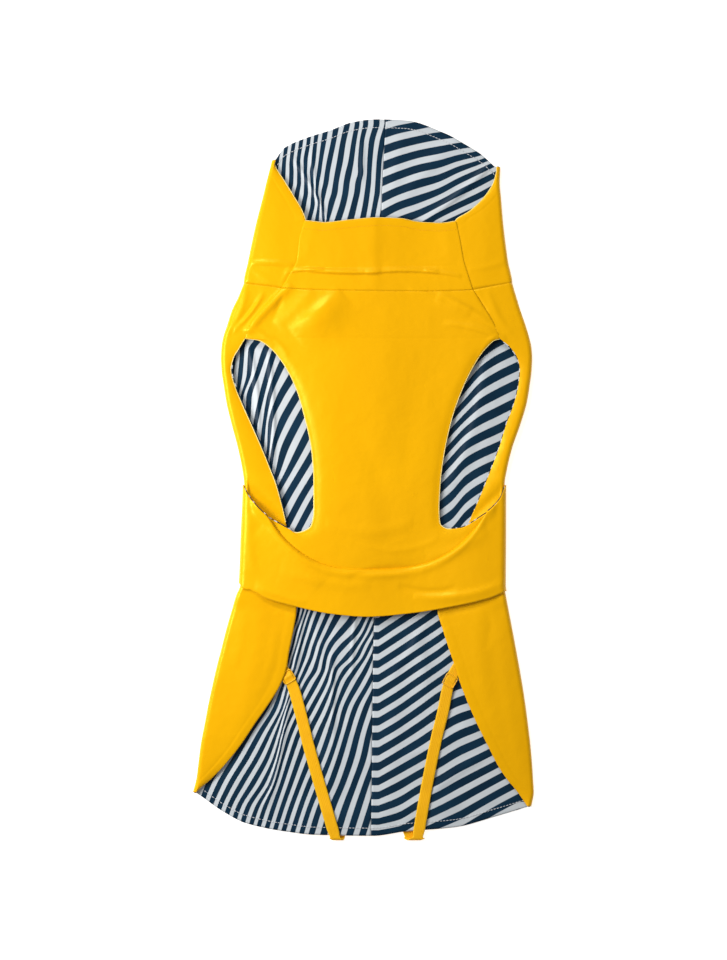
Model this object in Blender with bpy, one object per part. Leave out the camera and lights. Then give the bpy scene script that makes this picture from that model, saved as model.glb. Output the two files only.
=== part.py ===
"""A dog raincoat laid flat, belly side up: shell, lining, collar, chest panel, belly band and leg straps.

Sizes are in millimetres and become metres when a mesh is made. +X is the right of the coat as it lies, +Y runs
from tail to neck, and +Z points up from the surface that the coat lies on. The origin is on that surface, under
the middle of the coat.
"""

import math

import bpy
import numpy as np

MM = 0.001

# Driving sizes
CLOTH = 1.0  # every cloth wall
GAP = 0.3  # between pieces that touch
LAYER = CLOTH + GAP
TAPE_WIDTH = 9.2
TAPE_LAY = 0.5  # between the lining and a leg strap that lies on it
SETTLE = 1.4  # how far the front layers drop between the side flaps
FOLD_STEPS = 5  # facets round a side fold

SEAM_Y = 157.0  # collar to body, at the back and at the side folds
REAR_Y = -104.0  # below this the rows fan out to follow the hem
COLLAR_MID_Y = 206.4  # above this the rows fan out to follow the neck edge
BAND_BACK_TOP, BAND_BACK_BOTTOM = -4.0, -86.0
WING_END = 25.0  # how far each wing of the band reaches past the middle of the back
WING_STEP = (25.8, 34.0)  # where the right wing climbs on to the left one
BAND_CORNERS = (-90.0, 105.0)  # where the band's back turns into its side folds
BAND_RADIUS = 3.8
SMILE_LEFT, SMILE_RIGHT = (-76.8, -28.5), (98.5, -25.0)  # ends of the seam between chest and band
SMILE_DEPTH, SMILE_POWER = 44.4, 3.0

# Where the back rises off the surface, each pair from nothing to the full height: over the band's top and
# bottom edges, over the doubled end of its wings, and over the strap ends folded under the rear hem.
RISE_BAND_TOP, RISE_BAND_BOTTOM = (8.0, -3.0), (-104.0, -92.0)
RISE_DOUBLED_LEFT, RISE_DOUBLED_RIGHT = (-39.0, -29.4), (38.9, 27.0)
RISE_STRAPS_LEFT, RISE_STRAPS_RIGHT = (-59.6, -46.5), (83.7, 58.7)
RISE_FROM_HEM = (34.0, 16.0)
SETTLE_LEFT, SETTLE_RIGHT = (-50.0, -22.0), (56.0, 28.0)  # where the front layers drop, from the side flaps in

# The coat's width, row by row from the collar seam to the rear corners. A fold is the outermost line of a side,
# an edge is the free edge of the cloth that has come round that fold to the front.
BODY_COLUMNS = "y left_fold left_edge centre right_edge right_fold radius"
BODY_ROWS = (
    (157.0, -95.8, -54.8, 12.0, 83.3, 118.9, 3.8),
    (146.0, -100.2, -66.6, 11.8, 90.6, 122.2, 3.8),
    (135.6, -105.2, -76.8, 11.5, 97.2, 125.4, 3.8),
    (124.0, -109.0, -87.0, 11.2, 104.0, 129.4, 3.8),
    (113.2, -112.4, -92.6, 11.0, 108.6, 132.6, 3.8),
    (106.0, -113.6, -96.8, 10.8, 116.6, 134.2, 3.8),
    (97.0, -114.0, -102.8, 10.6, 122.6, 134.8, 3.8),
    (88.0, -113.6, -105.9, 10.4, 124.6, 134.4, 3.8),
    (76.0, -111.9, -103.2, 10.2, 123.5, 132.9, 3.8),
    (62.0, -109.7, -97.6, 10.0, 120.2, 130.6, 3.8),
    (44.0, -105.4, -89.6, 9.8, 113.6, 125.3, 3.8),
    (26.0, -100.6, -81.7, 9.6, 108.2, 119.0, 3.8),
    (8.0, -96.9, -74.4, 9.4, 101.4, 114.6, 3.8),
    (-4.0, -95.4, -69.8, 9.2, 96.6, 112.7, 3.8),
    (-45.0, -97.0, -60.0, 9.0, 79.6, 112.6, 3.8),
    (-84.0, -98.6, -54.9, 8.8, 65.4, 112.4, 3.8),
    (-92.0, -101.8, -54.2, 8.8, 62.6, 113.7, 3.8),
    (-104.0, -105.4, -53.4, 8.6, 59.0, 116.0, 3.8),
    (-118.0, -109.4, -55.5, 8.2, 62.8, 118.7, 3.8),
    (-138.0, -114.5, -59.4, 7.6, 69.2, 122.4, 3.75),
    (-150.0, -117.6, -61.3, 7.4, 73.4, 124.6, 3.7),
    (-164.0, -120.8, -66.6, 7.2, 77.8, 127.0, 3.65),
    (-179.0, -124.0, -75.7, 7.0, 83.7, 129.3, 3.6),
    (-195.0, -127.0, -86.9, 6.8, 90.7, 131.4, 3.5),
    (-212.0, -130.2, -98.3, 6.6, 99.2, 133.4, 3.4),
    (-228.0, -132.2, -111.2, 6.4, 107.3, 134.8, 3.2),
    (-239.0, -133.6, -121.8, 6.2, 114.6, 135.5, 3.0),
    (-250.0, -136.4, -133.2, 6.1, 123.6, 136.1, 2.8),
    (-261.2, -138.8, -135.6, 6.0, 131.0, 134.2, 2.8),
)
BODY_LEFT_END, BODY_RIGHT_END = -250.0, -261.2
SEAM_LEFT_DROP, SEAM_RIGHT_DROP = 3.8, 5.4  # how far the collar seam dips towards the front on each side
BODY_DROP_ENDS, COLLAR_DROP_ENDS = 135.6, 163.0  # how far down and up from the seam the rows dip with it
HEM_COLUMNS = "x y"
HEM_ROWS = (
    (-133.6, -250.0),
    (-110.8, -266.0),
    (-94.0, -274.4),
    (-61.2, -281.2),
    (-38.0, -283.6),
    (7.6, -284.4),
    (34.0, -280.8),
    (73.2, -277.6),
    (104.4, -269.4),
    (131.4, -261.2),
)

COLLAR_COLUMNS = BODY_COLUMNS
COLLAR_ROWS = (
    (150.0, -94.0, -59.8, 12.0, 87.4, 118.2, 3.8),
    (157.0, -95.8, -57.6, 12.0, 85.0, 118.9, 3.8),
    (174.0, -92.5, -52.6, 12.8, 79.6, 115.6, 3.8),
    (191.6, -88.9, -50.4, 13.5, 76.4, 113.2, 3.7),
    (206.4, -85.6, -46.2, 14.0, 73.3, 111.5, 3.6),
    (214.8, -83.5, -49.0, 14.5, 85.0, 110.8, 3.4),
    (226.0, -80.6, -55.4, 15.3, 96.6, 109.9, 3.2),
    (238.4, -77.7, -63.0, 16.4, 104.6, 108.9, 2.9),
    (250.6, -74.6, -69.2, 17.6, 104.4, 107.6, 2.8),
    (256.0, -73.2, -70.0, 18.0, 103.8, 107.0, 2.8),
)
COLLAR_LEFT_END, COLLAR_RIGHT_END = 256.0, 250.6
NECK_COLUMNS = "x y"
NECK_ROWS = (
    (-70.4, 256.0),
    (-63.6, 265.4),
    (-46.8, 273.2),
    (-26.8, 279.6),
    (-9.2, 286.0),
    (9.2, 288.4),
    (33.2, 287.6),
    (65.2, 277.2),
    (81.2, 270.4),
    (93.2, 262.4),
    (104.8, 250.6),
)
COLLAR_CREASE_Y, COLLAR_CREASE_WIDE, COLLAR_CREASE_HIGH = 169.0, 6.0, 1.0

# The front pieces, row by row from the neck down: both ends of each row, how far its middle hangs below them,
# and the height of its top face over the surface.
FRONT_COLUMNS = "left_x left_y right_x right_y sag top"
COLLAR_FRONT_ROWS = (
    (-46.0, 206.6, 73.0, 207.2, -2.6, 7.2),
    (-50.2, 191.6, 76.2, 191.6, 0.0, 7.4),
    (-52.2, 175.0, 79.1, 175.0, 0.0, 7.6),
    (-53.7, 169.0, 80.9, 169.0, 0.0, 8.6),
    (-55.5, 163.0, 82.8, 163.0, 0.5, 7.6),
    (-58.3, 153.7, 86.1, 152.1, 1.6, 7.6),
)
CHEST_ROWS = (
    (-58.6, 153.0, 86.6, 151.4, 1.5, 7.6),
    (-76.3, 135.6, 96.7, 135.6, 0.0, 7.6),
    (-86.5, 124.0, 103.5, 124.0, 0.0, 7.6),
    (-92.1, 113.4, 108.1, 113.4, 0.0, 7.6),
    (-84.0, 111.6, 104.0, 111.2, 0.0, 7.6),
    (-74.0, 105.2, 96.1, 103.6, 0.0, 7.6),
    (-63.6, 92.4, 87.6, 90.8, 0.0, 7.6),
    (-54.0, 74.0, 78.8, 72.4, 0.0, 7.6),
    (-46.8, 50.0, 70.8, 50.0, 0.0, 7.6),
    (-41.2, 22.8, 64.6, 22.8, 0.0, 8.4),
    (-39.6, 0.0, 61.4, 0.0, 1.0, 9.4),
    (-39.6, -24.0, 60.2, -22.0, 4.0, 10.1),
    (-42.5, -37.5, 61.0, -34.5, 9.0, 10.2),
    (-53.2, -42.0, 68.0, -39.0, 14.5, 10.2),
    (-61.2, -38.0, 78.0, -38.0, 24.0, 10.2),
    (*SMILE_LEFT, *SMILE_RIGHT, SMILE_DEPTH - GAP, 10.2),
)
CHEST_ACROSS = (0.0, 0.06, 0.14, 0.24, 0.36, 0.5, 0.64, 0.76, 0.86, 0.94, 1.0)
COLLAR_FRONT_ACROSS = (0.0, 0.12, 0.3, 0.5, 0.7, 0.88, 1.0)

# The band's free edges on the front, from the left fold to the right one. Between the ends of the chest seam
# its top edge is that seam.
BAND_COLUMNS = "x top bottom"
BAND_ROWS = (
    (-96.0, -4.0, -82.5),
    (-91.6, -12.4, -87.0),
    (-86.0, -19.6, -89.6),
    (-76.8, -28.5, -94.6),
    (-58.8, -40.0, -99.6),
    (-26.0, -50.0, -106.6),
    (2.8, -50.0, -109.0),
    (38.0, -50.0, -106.2),
    (69.2, -40.0, -101.2),
    (98.5, -25.0, -94.8),
    (104.4, -20.0, -92.8),
    (109.2, -14.0, -90.6),
    (113.2, -4.0, -88.6),
)
BAND_LEFT_BOTTOM, BAND_RIGHT_BOTTOM = -82.5, -88.6
BAND_TOP_FACE = 10.2
BAND_DOWN = (0.0, 0.25, 0.5, 0.75, 1.0)
BAND_LEFT_SPOTS, BAND_RIGHT_SPOTS = (-87.0, -82.0), (102.5, 106.0)  # beside the chest seam
BAND_LEFT_WING_SPOTS = (WING_END, -20.0, -60.0)
BAND_RIGHT_WING_SPOTS = (70.0, *WING_STEP[::-1], 0.0, -WING_END)

# Leg straps: the tape's middle line from under the side flap to the rear hem, then round the hem.
# The second row is the middle of the slider.
STRAP_COLUMNS = "y x"
STRAPS = {
    "left": dict(
        rows=((-138.0, -63.6), (-158.6, -57.9), (-212.4, -44.4), (-256.4, -31.6), (-285.6, -23.6)),
        slider_angle=22.0,
        under_y=-275.0,
    ),
    "right": dict(
        rows=((-138.0, 74.0), (-161.0, 69.0), (-204.4, 58.8), (-252.4, 49.2), (-285.6, 42.8)),
        slider_angle=-22.0,
        under_y=-271.0,
    ),
}
STRAP_TURN_Y = -285.9  # where the tape turns down round the rear hem
TAPE_OVER_BAR = 2.4  # how far the tape rises to pass over the slider's bar
TAPE_TURN_STEPS = 6
SLIDER_WIDE, SLIDER_LONG, SLIDER_THICK = 12.8, 10.4, 0.8
SLIDER_RIM, SLIDER_BAR = 1.1, 1.6

YELLOW = (0.93, 0.47, 0.004)
NAVY = (0.012, 0.045, 0.09)
STRAP_YELLOW = (0.88, 0.42, 0.006)


class Table:
    """Rows of numbers under named columns, read between rows along a smooth curve that never overshoots."""

    def __init__(self, columns, rows):
        self.names = columns.split()
        self.rows = np.array(sorted(rows), float)

    def at(self, name, where):
        xs = self.rows[:, 0]
        ys = self.rows[:, self.names.index(name)]
        step = np.diff(xs)
        slope = np.diff(ys) / step
        tangent = np.empty_like(ys)
        tangent[0], tangent[-1] = slope[0], slope[-1]
        before, after = slope[:-1], slope[1:]
        same = before * after > 0
        total = np.where(same, before + after, 1.0)
        tangent[1:-1] = np.where(same, 2 * before * after / total, 0.0)
        where = np.clip(np.asarray(where, float), xs[0], xs[-1])
        i = np.clip(np.searchsorted(xs, where) - 1, 0, len(step) - 1)
        t = (where - xs[i]) / step[i]
        near = ys[i] * (1 + 2 * t) * (1 - t) ** 2 + ys[i + 1] * t**2 * (3 - 2 * t)
        return near + step[i] * (tangent[i] * t * (1 - t) ** 2 - tangent[i + 1] * t**2 * (1 - t))


BODY = Table(BODY_COLUMNS, BODY_ROWS)
COLLAR = Table(COLLAR_COLUMNS, COLLAR_ROWS)
HEM = Table(HEM_COLUMNS, HEM_ROWS)
NECK = Table(NECK_COLUMNS, NECK_ROWS)
BAND = Table(BAND_COLUMNS, BAND_ROWS)


def mix(a, b, t):
    return a + (b - a) * t


def ramp(value, zero, one):
    """0 at zero, 1 at one, straight between."""
    return np.clip((value - zero) / (one - zero), 0.0, 1.0)


def lift(x, y):
    """How far the shell stands over the surface: over the band, its doubled end, and the strap ends."""
    over_band = ramp(y, *RISE_BAND_TOP) * ramp(y, *RISE_BAND_BOTTOM)
    doubled = ramp(x, *RISE_DOUBLED_LEFT) * ramp(x, *RISE_DOUBLED_RIGHT)
    near_hem = ramp(y - HEM.at("y", x), *RISE_FROM_HEM) * (y < REAR_Y)
    over_straps = near_hem * ramp(x, *RISE_STRAPS_LEFT) * ramp(x, *RISE_STRAPS_RIGHT)
    return LAYER * (over_band * (1 + doubled) + over_straps)


def settle(x):
    """How far the front layers drop in the middle, where no side flap lies under them."""
    return SETTLE * ramp(x, *SETTLE_LEFT) * ramp(x, *SETTLE_RIGHT)


def wrapped(cut, rows, spots, depth, inset=0.0):
    """Points of a piece that goes round both side folds, at a depth inwards from the coat's outer face.

    A row is 0 at the collar seam, 1 where rows stop being level, 2 at the hem or the neck edge. A spot is a
    side, a zone and a share: flap from free edge to fold, fold from front to back, back from fold to centre.
    """
    table, mid_y, end_table = cut["table"], cut["mid_y"], cut["end"]
    rows = np.asarray(rows, float)
    middle_end = (cut["left_end"] + cut["right_end"]) / 2
    centre = table.at("centre", np.where(rows <= 1, mix(SEAM_Y, mid_y, rows), mix(mid_y, middle_end, rows - 1)))
    grid = np.empty((len(rows), len(spots), 3))
    for k, (side, zone, share) in enumerate(spots):
        out = -1.0 if side == "left" else 1.0
        end_y = cut[side + "_end"]
        if zone == "back":
            tip = table.at(side + "_fold", end_y) - out * table.at("radius", end_y)
            end_y = end_table.at("y", mix(tip, centre[-1], share))
        end_y = end_y + cut["inwards"] * inset
        y = np.where(rows <= 1, mix(SEAM_Y, mid_y, rows), mix(mid_y, end_y, rows - 1))
        side_y = np.where(rows <= 1, y, mix(mid_y, cut[side + "_end"], rows - 1))
        radius = table.at("radius", side_y)
        start = table.at(side + "_fold", side_y) - out * radius
        if zone == "flap":
            dip = cut[side + "_drop"] * (1 - share) * np.clip(1 - rows / cut["drop_ends"], 0, 1)
            y = y - dip
            x = mix(table.at(side + "_edge", y) + out * inset, start, share)
            z = 2 * radius - depth + cut["crease"](y) * (1 - share)
        elif zone == "fold":
            angle = math.pi * share
            x = start + out * (radius - depth) * math.sin(angle)
            z = radius + (radius - depth) * math.cos(angle)
        else:
            x = mix(start, centre + out * GAP / 2 * cut["split"], share)
            z = np.full_like(x, depth)
        clear_of_seam = cut["inwards"] * GAP / 2 * (rows == 0)
        grid[:, k] = np.stack([x, y - clear_of_seam, z + cut["lift"](x, y)], 1)
    return grid


def panel(rows, across, depth):
    """Points of a front piece, at a depth under its top face. Its rows are straight, or hang in the middle."""
    columns = np.array(rows, float).T[:, :, None]
    row = dict(zip(FRONT_COLUMNS.split(), columns))
    t = np.asarray(across, float)[None, :]
    hang = 1 - np.abs(2 * t - 1) ** SMILE_POWER
    x = mix(row["left_x"], row["right_x"], t)
    y = mix(row["left_y"], row["right_y"], t) - row["sag"] * hang
    z = row["top"] - depth - settle(x)
    return np.stack([x, y, z], 2)


def smile_y(x):
    """The chest seam's height at x."""
    t = (x - SMILE_LEFT[0]) / (SMILE_RIGHT[0] - SMILE_LEFT[0])
    return mix(SMILE_LEFT[1], SMILE_RIGHT[1], t) - SMILE_DEPTH * (1 - np.abs(2 * t - 1) ** SMILE_POWER)


def band_grid(depth):
    """Points of the belly band: its left wing under the back, the front, then its right wing."""
    columns = []
    down = np.array(BAND_DOWN)
    left_corner, right_corner = BAND_CORNERS

    def add(x, y, z):
        columns.append(np.stack([x + 0 * down, y, z + 0 * down], 1))

    def back(x, bottom, z):
        add(x, mix(BAND_BACK_TOP, bottom, down), z + depth)

    def fold(side, bottom, share):
        out = -1.0 if side == "left" else 1.0
        y = mix(BAND_BACK_TOP, bottom, down)
        start = BODY.at(side + "_fold", y) - out * BAND_RADIUS
        reach = BAND_RADIUS + LAYER - depth
        angle = math.pi * share
        add(start + out * reach * math.sin(angle), y, LAYER + BAND_RADIUS + reach * math.cos(angle))

    for x in BAND_LEFT_WING_SPOTS:
        back(x, mix(BAND_BACK_BOTTOM, BAND_LEFT_BOTTOM, ramp(x, WING_END, left_corner)), 0.0)
    for k in range(FOLD_STEPS, -1, -1):
        fold("left", BAND_LEFT_BOTTOM, k / FOLD_STEPS)
    seam = [mix(SMILE_LEFT[0], SMILE_RIGHT[0], t) for t in CHEST_ACROSS]
    for x in (*BAND_LEFT_SPOTS, *seam, *BAND_RIGHT_SPOTS):
        on_seam = SMILE_LEFT[0] <= x <= SMILE_RIGHT[0]
        top = smile_y(x) - GAP if on_seam else BAND.at("top", x)
        add(x, mix(top, BAND.at("bottom", x), down), BAND_TOP_FACE - settle(x) - depth)
    for k in range(FOLD_STEPS + 1):
        fold("right", BAND_RIGHT_BOTTOM, k / FOLD_STEPS)
    for x in BAND_RIGHT_WING_SPOTS:
        bottom = mix(BAND_BACK_BOTTOM, BAND_RIGHT_BOTTOM, ramp(x, WING_END, right_corner))
        back(x, bottom, LAYER * ramp(x, *WING_STEP[::-1]))
    return np.stack(columns, 1)


def link(name, points, faces, material):
    """A closed mesh object from points in millimetres, its faces turned outwards."""
    mesh = bpy.data.meshes.new(name)
    mesh.from_pydata([tuple(p) for p in np.asarray(points) * MM], [], faces)
    mesh.validate()
    body = bpy.data.objects.new(name, mesh)
    bpy.context.scene.collection.objects.link(body)
    mesh.calc_loop_triangles()
    corners = np.array([[mesh.vertices[i].co[:] for i in t.vertices] for t in mesh.loop_triangles])
    if np.linalg.det(corners).sum() < 0:
        mesh.flip_normals()
    mesh.materials.append(material)
    mesh.shade_smooth()
    mesh.set_sharp_from_angle(angle=math.radians(40))
    return body


def wall(name, outer, inner, material):
    """A closed cloth wall between two equal grids of points."""
    rows, columns = outer.shape[:2]
    count = rows * columns

    def at(i, j, face):
        return face * count + i * columns + j

    faces = []
    for i in range(rows - 1):
        for j in range(columns - 1):
            a, b, c, d = (at(i, j, 0), at(i, j + 1, 0), at(i + 1, j + 1, 0), at(i + 1, j, 0))
            faces += [(a, b, c), (a, c, d)]
            faces += [(c + count, b + count, a + count), (d + count, c + count, a + count)]
    rim = [(0, j) for j in range(columns)]
    rim += [(i, columns - 1) for i in range(1, rows)]
    rim += [(rows - 1, j) for j in range(columns - 2, -1, -1)]
    rim += [(i, 0) for i in range(rows - 2, 0, -1)]
    for (i, j), (m, n) in zip(rim, rim[1:] + rim[:1]):
        faces += [(at(m, n, 0), at(i, j, 0), at(i, j, 1)), (at(m, n, 0), at(i, j, 1), at(m, n, 1))]
    return link(name, np.concatenate([outer.reshape(-1, 3), inner.reshape(-1, 3)]), faces, material)


def strap_rows(strap):
    """(x, y, middle height, angle of the row across the tape) down a leg strap."""
    route = Table(STRAP_COLUMNS, strap["rows"])
    start_y, slider_y = strap["rows"][0][0], strap["rows"][1][0]
    slider_angle = strap["slider_angle"]
    lean = math.cos(math.radians(slider_angle))
    window = (SLIDER_LONG / 2 - SLIDER_RIM) * lean
    bar = SLIDER_BAR / 2 * lean + GAP
    lying = LAYER + CLOTH + TAPE_LAY + CLOTH / 2
    edge = window - 0.1  # just inside the window's end
    beyond = window + 3.0
    flat_above = ((start_y, 0.35), (slider_y + beyond, 0.0), (slider_y + edge, 0.0))
    over_bar = ((slider_y + bar, TAPE_OVER_BAR), (slider_y - bar, TAPE_OVER_BAR))
    flat_below = ((slider_y - edge, 0.0), (slider_y - beyond, 0.0))

    rows = []
    for y, rise in (*flat_above, *over_bar, *flat_below):
        rows.append((float(route.at("x", y)), y, lying + rise, slider_angle))
    for share in (0.15, 0.35, 0.55, 0.7, 0.8, 0.88, 0.94):
        y = mix(slider_y - beyond, STRAP_TURN_Y, share)
        x = float(route.at("x", y))
        height = lying + float(lift(np.array(x), np.array(y)))
        rows.append((x, y, height, slider_angle * max(0.0, 1 - share / 0.7)))

    top, under = lying + LAYER, CLOTH / 2
    slope = (rows[-1][0] - rows[-2][0]) / (rows[-2][1] - rows[-1][1])
    radius = (top - under) / 2
    turn_x = rows[-1][0] + slope * (rows[-1][1] - STRAP_TURN_Y)
    for k in range(TAPE_TURN_STEPS + 1):
        angle = math.pi * k / TAPE_TURN_STEPS
        x = turn_x + slope * radius * angle
        rows.append((x, STRAP_TURN_Y - radius * math.sin(angle), under + radius * (1 + math.cos(angle)), 0.0))
    end_x = rows[-1][0] + slope * (strap["under_y"] - STRAP_TURN_Y)
    rows.append((end_x, strap["under_y"], under, 0.0))
    return rows


def strap_body(name, strap, material):
    """The flat tape as a closed wall."""
    rows = np.array(strap_rows(strap))
    middle = rows[:, :3]
    run = np.gradient(middle, axis=0)
    run /= np.linalg.norm(run, axis=1)[:, None]
    angle = np.radians(rows[:, 3])
    across = np.stack([np.cos(angle), np.sin(angle), 0 * angle], 1)
    normal = np.cross(across, run)
    normal /= np.linalg.norm(normal, axis=1)[:, None]
    across *= (TAPE_WIDTH / 2 / np.linalg.norm(np.cross(across, run), axis=1))[:, None]
    faces = []
    for side in (0.5, -0.5):
        shifted = middle + normal * CLOTH * side
        faces.append(np.stack([shifted - across, shifted + across], 1))
    return wall(name, faces[0], faces[1], material)


def slider_body(name, strap, material):
    """A flat frame with a bar across its middle, which the tape passes over."""
    y, x = strap["rows"][1]
    bottom = LAYER + CLOTH + TAPE_LAY + CLOTH + GAP
    across = (-SLIDER_WIDE / 2, -SLIDER_WIDE / 2 + SLIDER_RIM, SLIDER_WIDE / 2 - SLIDER_RIM, SLIDER_WIDE / 2)
    long = SLIDER_LONG / 2
    down = (-long, -long + SLIDER_RIM, -SLIDER_BAR / 2, SLIDER_BAR / 2, long - SLIDER_RIM, long)
    windows = {(1, 1), (1, 3)}
    angle = math.radians(strap["slider_angle"])
    points = []
    for z in (bottom, bottom + SLIDER_THICK):
        for v in down:
            for u in across:
                px = x + u * math.cos(angle) - v * math.sin(angle)
                py = y + u * math.sin(angle) + v * math.cos(angle)
                points.append((px, py, z))
    wide, deep = len(across), len(down)

    def at(i, j, k):
        return k * wide * deep + j * wide + i

    def filled(i, j):
        return 0 <= i < wide - 1 and 0 <= j < deep - 1 and (i, j) not in windows

    faces = []
    for i in range(wide - 1):
        for j in range(deep - 1):
            if not filled(i, j):
                continue
            faces.append((at(i, j, 1), at(i + 1, j, 1), at(i + 1, j + 1, 1), at(i, j + 1, 1)))
            faces.append((at(i, j + 1, 0), at(i + 1, j + 1, 0), at(i + 1, j, 0), at(i, j, 0)))
            sides = (((i, j), (i + 1, j), (i, j - 1)), ((i + 1, j), (i + 1, j + 1), (i + 1, j)))
            sides += (((i + 1, j + 1), (i, j + 1), (i, j + 1)), ((i, j + 1), (i, j), (i - 1, j)))
            for a, b, neighbour in sides:
                if not filled(*neighbour):
                    faces.append((at(*a, 0), at(*b, 0), at(*b, 1), at(*a, 1)))
    return link(name, points, faces, material)


def material(name, colour, roughness, metallic=0.0):
    made = bpy.data.materials.new(name)
    made.use_nodes = True
    shader = made.node_tree.nodes["Principled BSDF"]
    shader.inputs["Base Color"].default_value = (*colour, 1.0)
    shader.inputs["Roughness"].default_value = roughness
    shader.inputs["Metallic"].default_value = metallic
    return made


def crease(y):
    """The fold across the front of the collar."""
    return COLLAR_CREASE_HIGH * np.clip(1 - np.abs(y - COLLAR_CREASE_Y) / COLLAR_CREASE_WIDE, 0, 1)


def body_cut(split):
    """The shell, or the lining inside it when split at the centre of the back."""
    return dict(
        table=BODY,
        mid_y=REAR_Y,
        end=HEM,
        left_end=BODY_LEFT_END,
        right_end=BODY_RIGHT_END,
        left_drop=SEAM_LEFT_DROP,
        right_drop=SEAM_RIGHT_DROP,
        drop_ends=(SEAM_Y - BODY_DROP_ENDS) / (SEAM_Y - REAR_Y),
        crease=lambda y: 0 * y,
        lift=lift,
        inwards=1.0,
        split=split,
    )


def collar_cut(split):
    """The collar's shell, or the lining inside it when split at the centre of the back."""
    return dict(
        table=COLLAR,
        mid_y=COLLAR_MID_Y,
        end=NECK,
        left_end=COLLAR_LEFT_END,
        right_end=COLLAR_RIGHT_END,
        left_drop=SEAM_LEFT_DROP,
        right_drop=SEAM_RIGHT_DROP,
        drop_ends=(COLLAR_DROP_ENDS - SEAM_Y) / (COLLAR_MID_Y - SEAM_Y),
        crease=crease,
        lift=lambda x, y: 0 * x,
        inwards=-1.0,
        split=split,
    )


def half(side, flap, back):
    """The spots of one side, from the free edge to the centre of the back."""
    spots = [(side, "flap", share) for share in flap]
    spots += [(side, "fold", k / FOLD_STEPS) for k in range(1, FOLD_STEPS + 1)]
    return spots + [(side, "back", share) for share in back]


# The heights of the level rows, then the shares of the way on to the rear hem and to the neck edge.
BODY_LEVELS = (157.0, 146.0, 135.6, 124.0, 113.2, 106.0, 97.0, 88.0, 76.0, 62.0, 44.0, 26.0, 8.0, -3.0)
BODY_LEVELS += (-45.0, -84.0, -92.0, REAR_Y)
BODY_DOWN = [(SEAM_Y - y) / (SEAM_Y - REAR_Y) for y in BODY_LEVELS]
BODY_DOWN += [1 + share for share in (0.12, 0.26, 0.4, 0.55, 0.7, 0.81, 0.91, 1.0)]
COLLAR_LEVELS = (157.0, 163.0, COLLAR_CREASE_Y, 175.0, 191.6, COLLAR_MID_Y)
COLLAR_UP = [(y - SEAM_Y) / (COLLAR_MID_Y - SEAM_Y) for y in COLLAR_LEVELS]
COLLAR_UP += [1 + share for share in (0.17, 0.4, 0.65, 0.88, 1.0)]
FLAP = (0.0, 0.5, 1.0)
LEFT_BACK, RIGHT_BACK = (0.25, 0.53, 0.624, 0.8, 1.0), (0.38, 0.58, 0.7, 0.82, 1.0)
LINING_INSET = 1.2  # how far the lining's free edges stay inside the shell's


def whole(flap=FLAP):
    """Every spot round the coat, from the left free edge to the right one, with one column at the centre."""
    return half("left", flap, LEFT_BACK) + half("right", flap, RIGHT_BACK[:-1])[::-1]


def two_faces(cut, rows, spots, depth, inset=0.0):
    """The outer and inner faces of a wall at this depth."""
    return wrapped(cut, rows, spots, depth, inset), wrapped(cut, rows, spots, depth + CLOTH, inset)


def coat():
    for old in list(bpy.data.objects):
        bpy.data.objects.remove(old)

    shell = material("shell_fabric", YELLOW, 0.42)
    stripe = material("lining_fabric", NAVY, 0.6)
    tape = material("strap_tape", STRAP_YELLOW, 0.65)
    plastic = material("slider_plastic", YELLOW, 0.35)

    wall("back_panel", *two_faces(body_cut(0.0), BODY_DOWN, whole(), 0.0), shell)
    wall("collar_back", *two_faces(collar_cut(0.0), COLLAR_UP, whole(), 0.0), shell)
    for side, back in (("left", LEFT_BACK), ("right", RIGHT_BACK)):
        spots = half(side, FLAP, back)[:: 1 if side == "left" else -1]  # facets then match the shell's
        lining = two_faces(body_cut(1.0), BODY_DOWN, spots, LAYER, LINING_INSET)
        wall("lining_" + side, *lining, stripe)
        facing = two_faces(collar_cut(1.0), COLLAR_UP, spots, LAYER, LINING_INSET)
        wall("collar_lining_" + side, *facing, stripe)

    for name, rows, across in (
        ("collar_front", COLLAR_FRONT_ROWS, COLLAR_FRONT_ACROSS),
        ("chest_panel", CHEST_ROWS, CHEST_ACROSS),
    ):
        wall(name, panel(rows, across, 0.0), panel(rows, across, CLOTH), shell)
    wall("belly_band", band_grid(0.0), band_grid(CLOTH), shell)

    for side, strap in STRAPS.items():
        strap_body("leg_strap_" + side, strap, tape)
        slider_body("strap_slider_" + side, strap, plastic)


coat()
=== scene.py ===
import math

import bpy
import numpy as np
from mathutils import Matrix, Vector


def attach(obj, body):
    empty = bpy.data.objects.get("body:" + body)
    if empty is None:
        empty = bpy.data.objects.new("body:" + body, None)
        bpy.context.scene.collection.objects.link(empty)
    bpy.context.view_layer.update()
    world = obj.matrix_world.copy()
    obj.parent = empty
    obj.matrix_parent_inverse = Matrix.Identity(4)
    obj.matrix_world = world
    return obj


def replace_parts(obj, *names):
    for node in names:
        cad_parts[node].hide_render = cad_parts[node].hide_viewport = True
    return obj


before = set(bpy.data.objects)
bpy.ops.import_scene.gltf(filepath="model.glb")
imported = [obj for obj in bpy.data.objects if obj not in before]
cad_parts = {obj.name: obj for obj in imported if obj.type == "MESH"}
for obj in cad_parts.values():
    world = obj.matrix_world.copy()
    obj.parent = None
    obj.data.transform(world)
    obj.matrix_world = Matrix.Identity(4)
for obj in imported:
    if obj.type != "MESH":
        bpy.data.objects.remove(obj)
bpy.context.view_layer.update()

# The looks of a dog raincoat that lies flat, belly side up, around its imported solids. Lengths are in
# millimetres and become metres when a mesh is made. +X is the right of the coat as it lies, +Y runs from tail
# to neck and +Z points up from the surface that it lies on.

MM = 0.001

# ---------------------------------------------------------------- sizes, as in the solids

LAYER = 1.3  # one layer of cloth with the air round it
CLOTH = 0.6
LINING_THICK, LINING_DEPTH = 0.4, 0.9  # the lining lies this deep under the outer face

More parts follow.
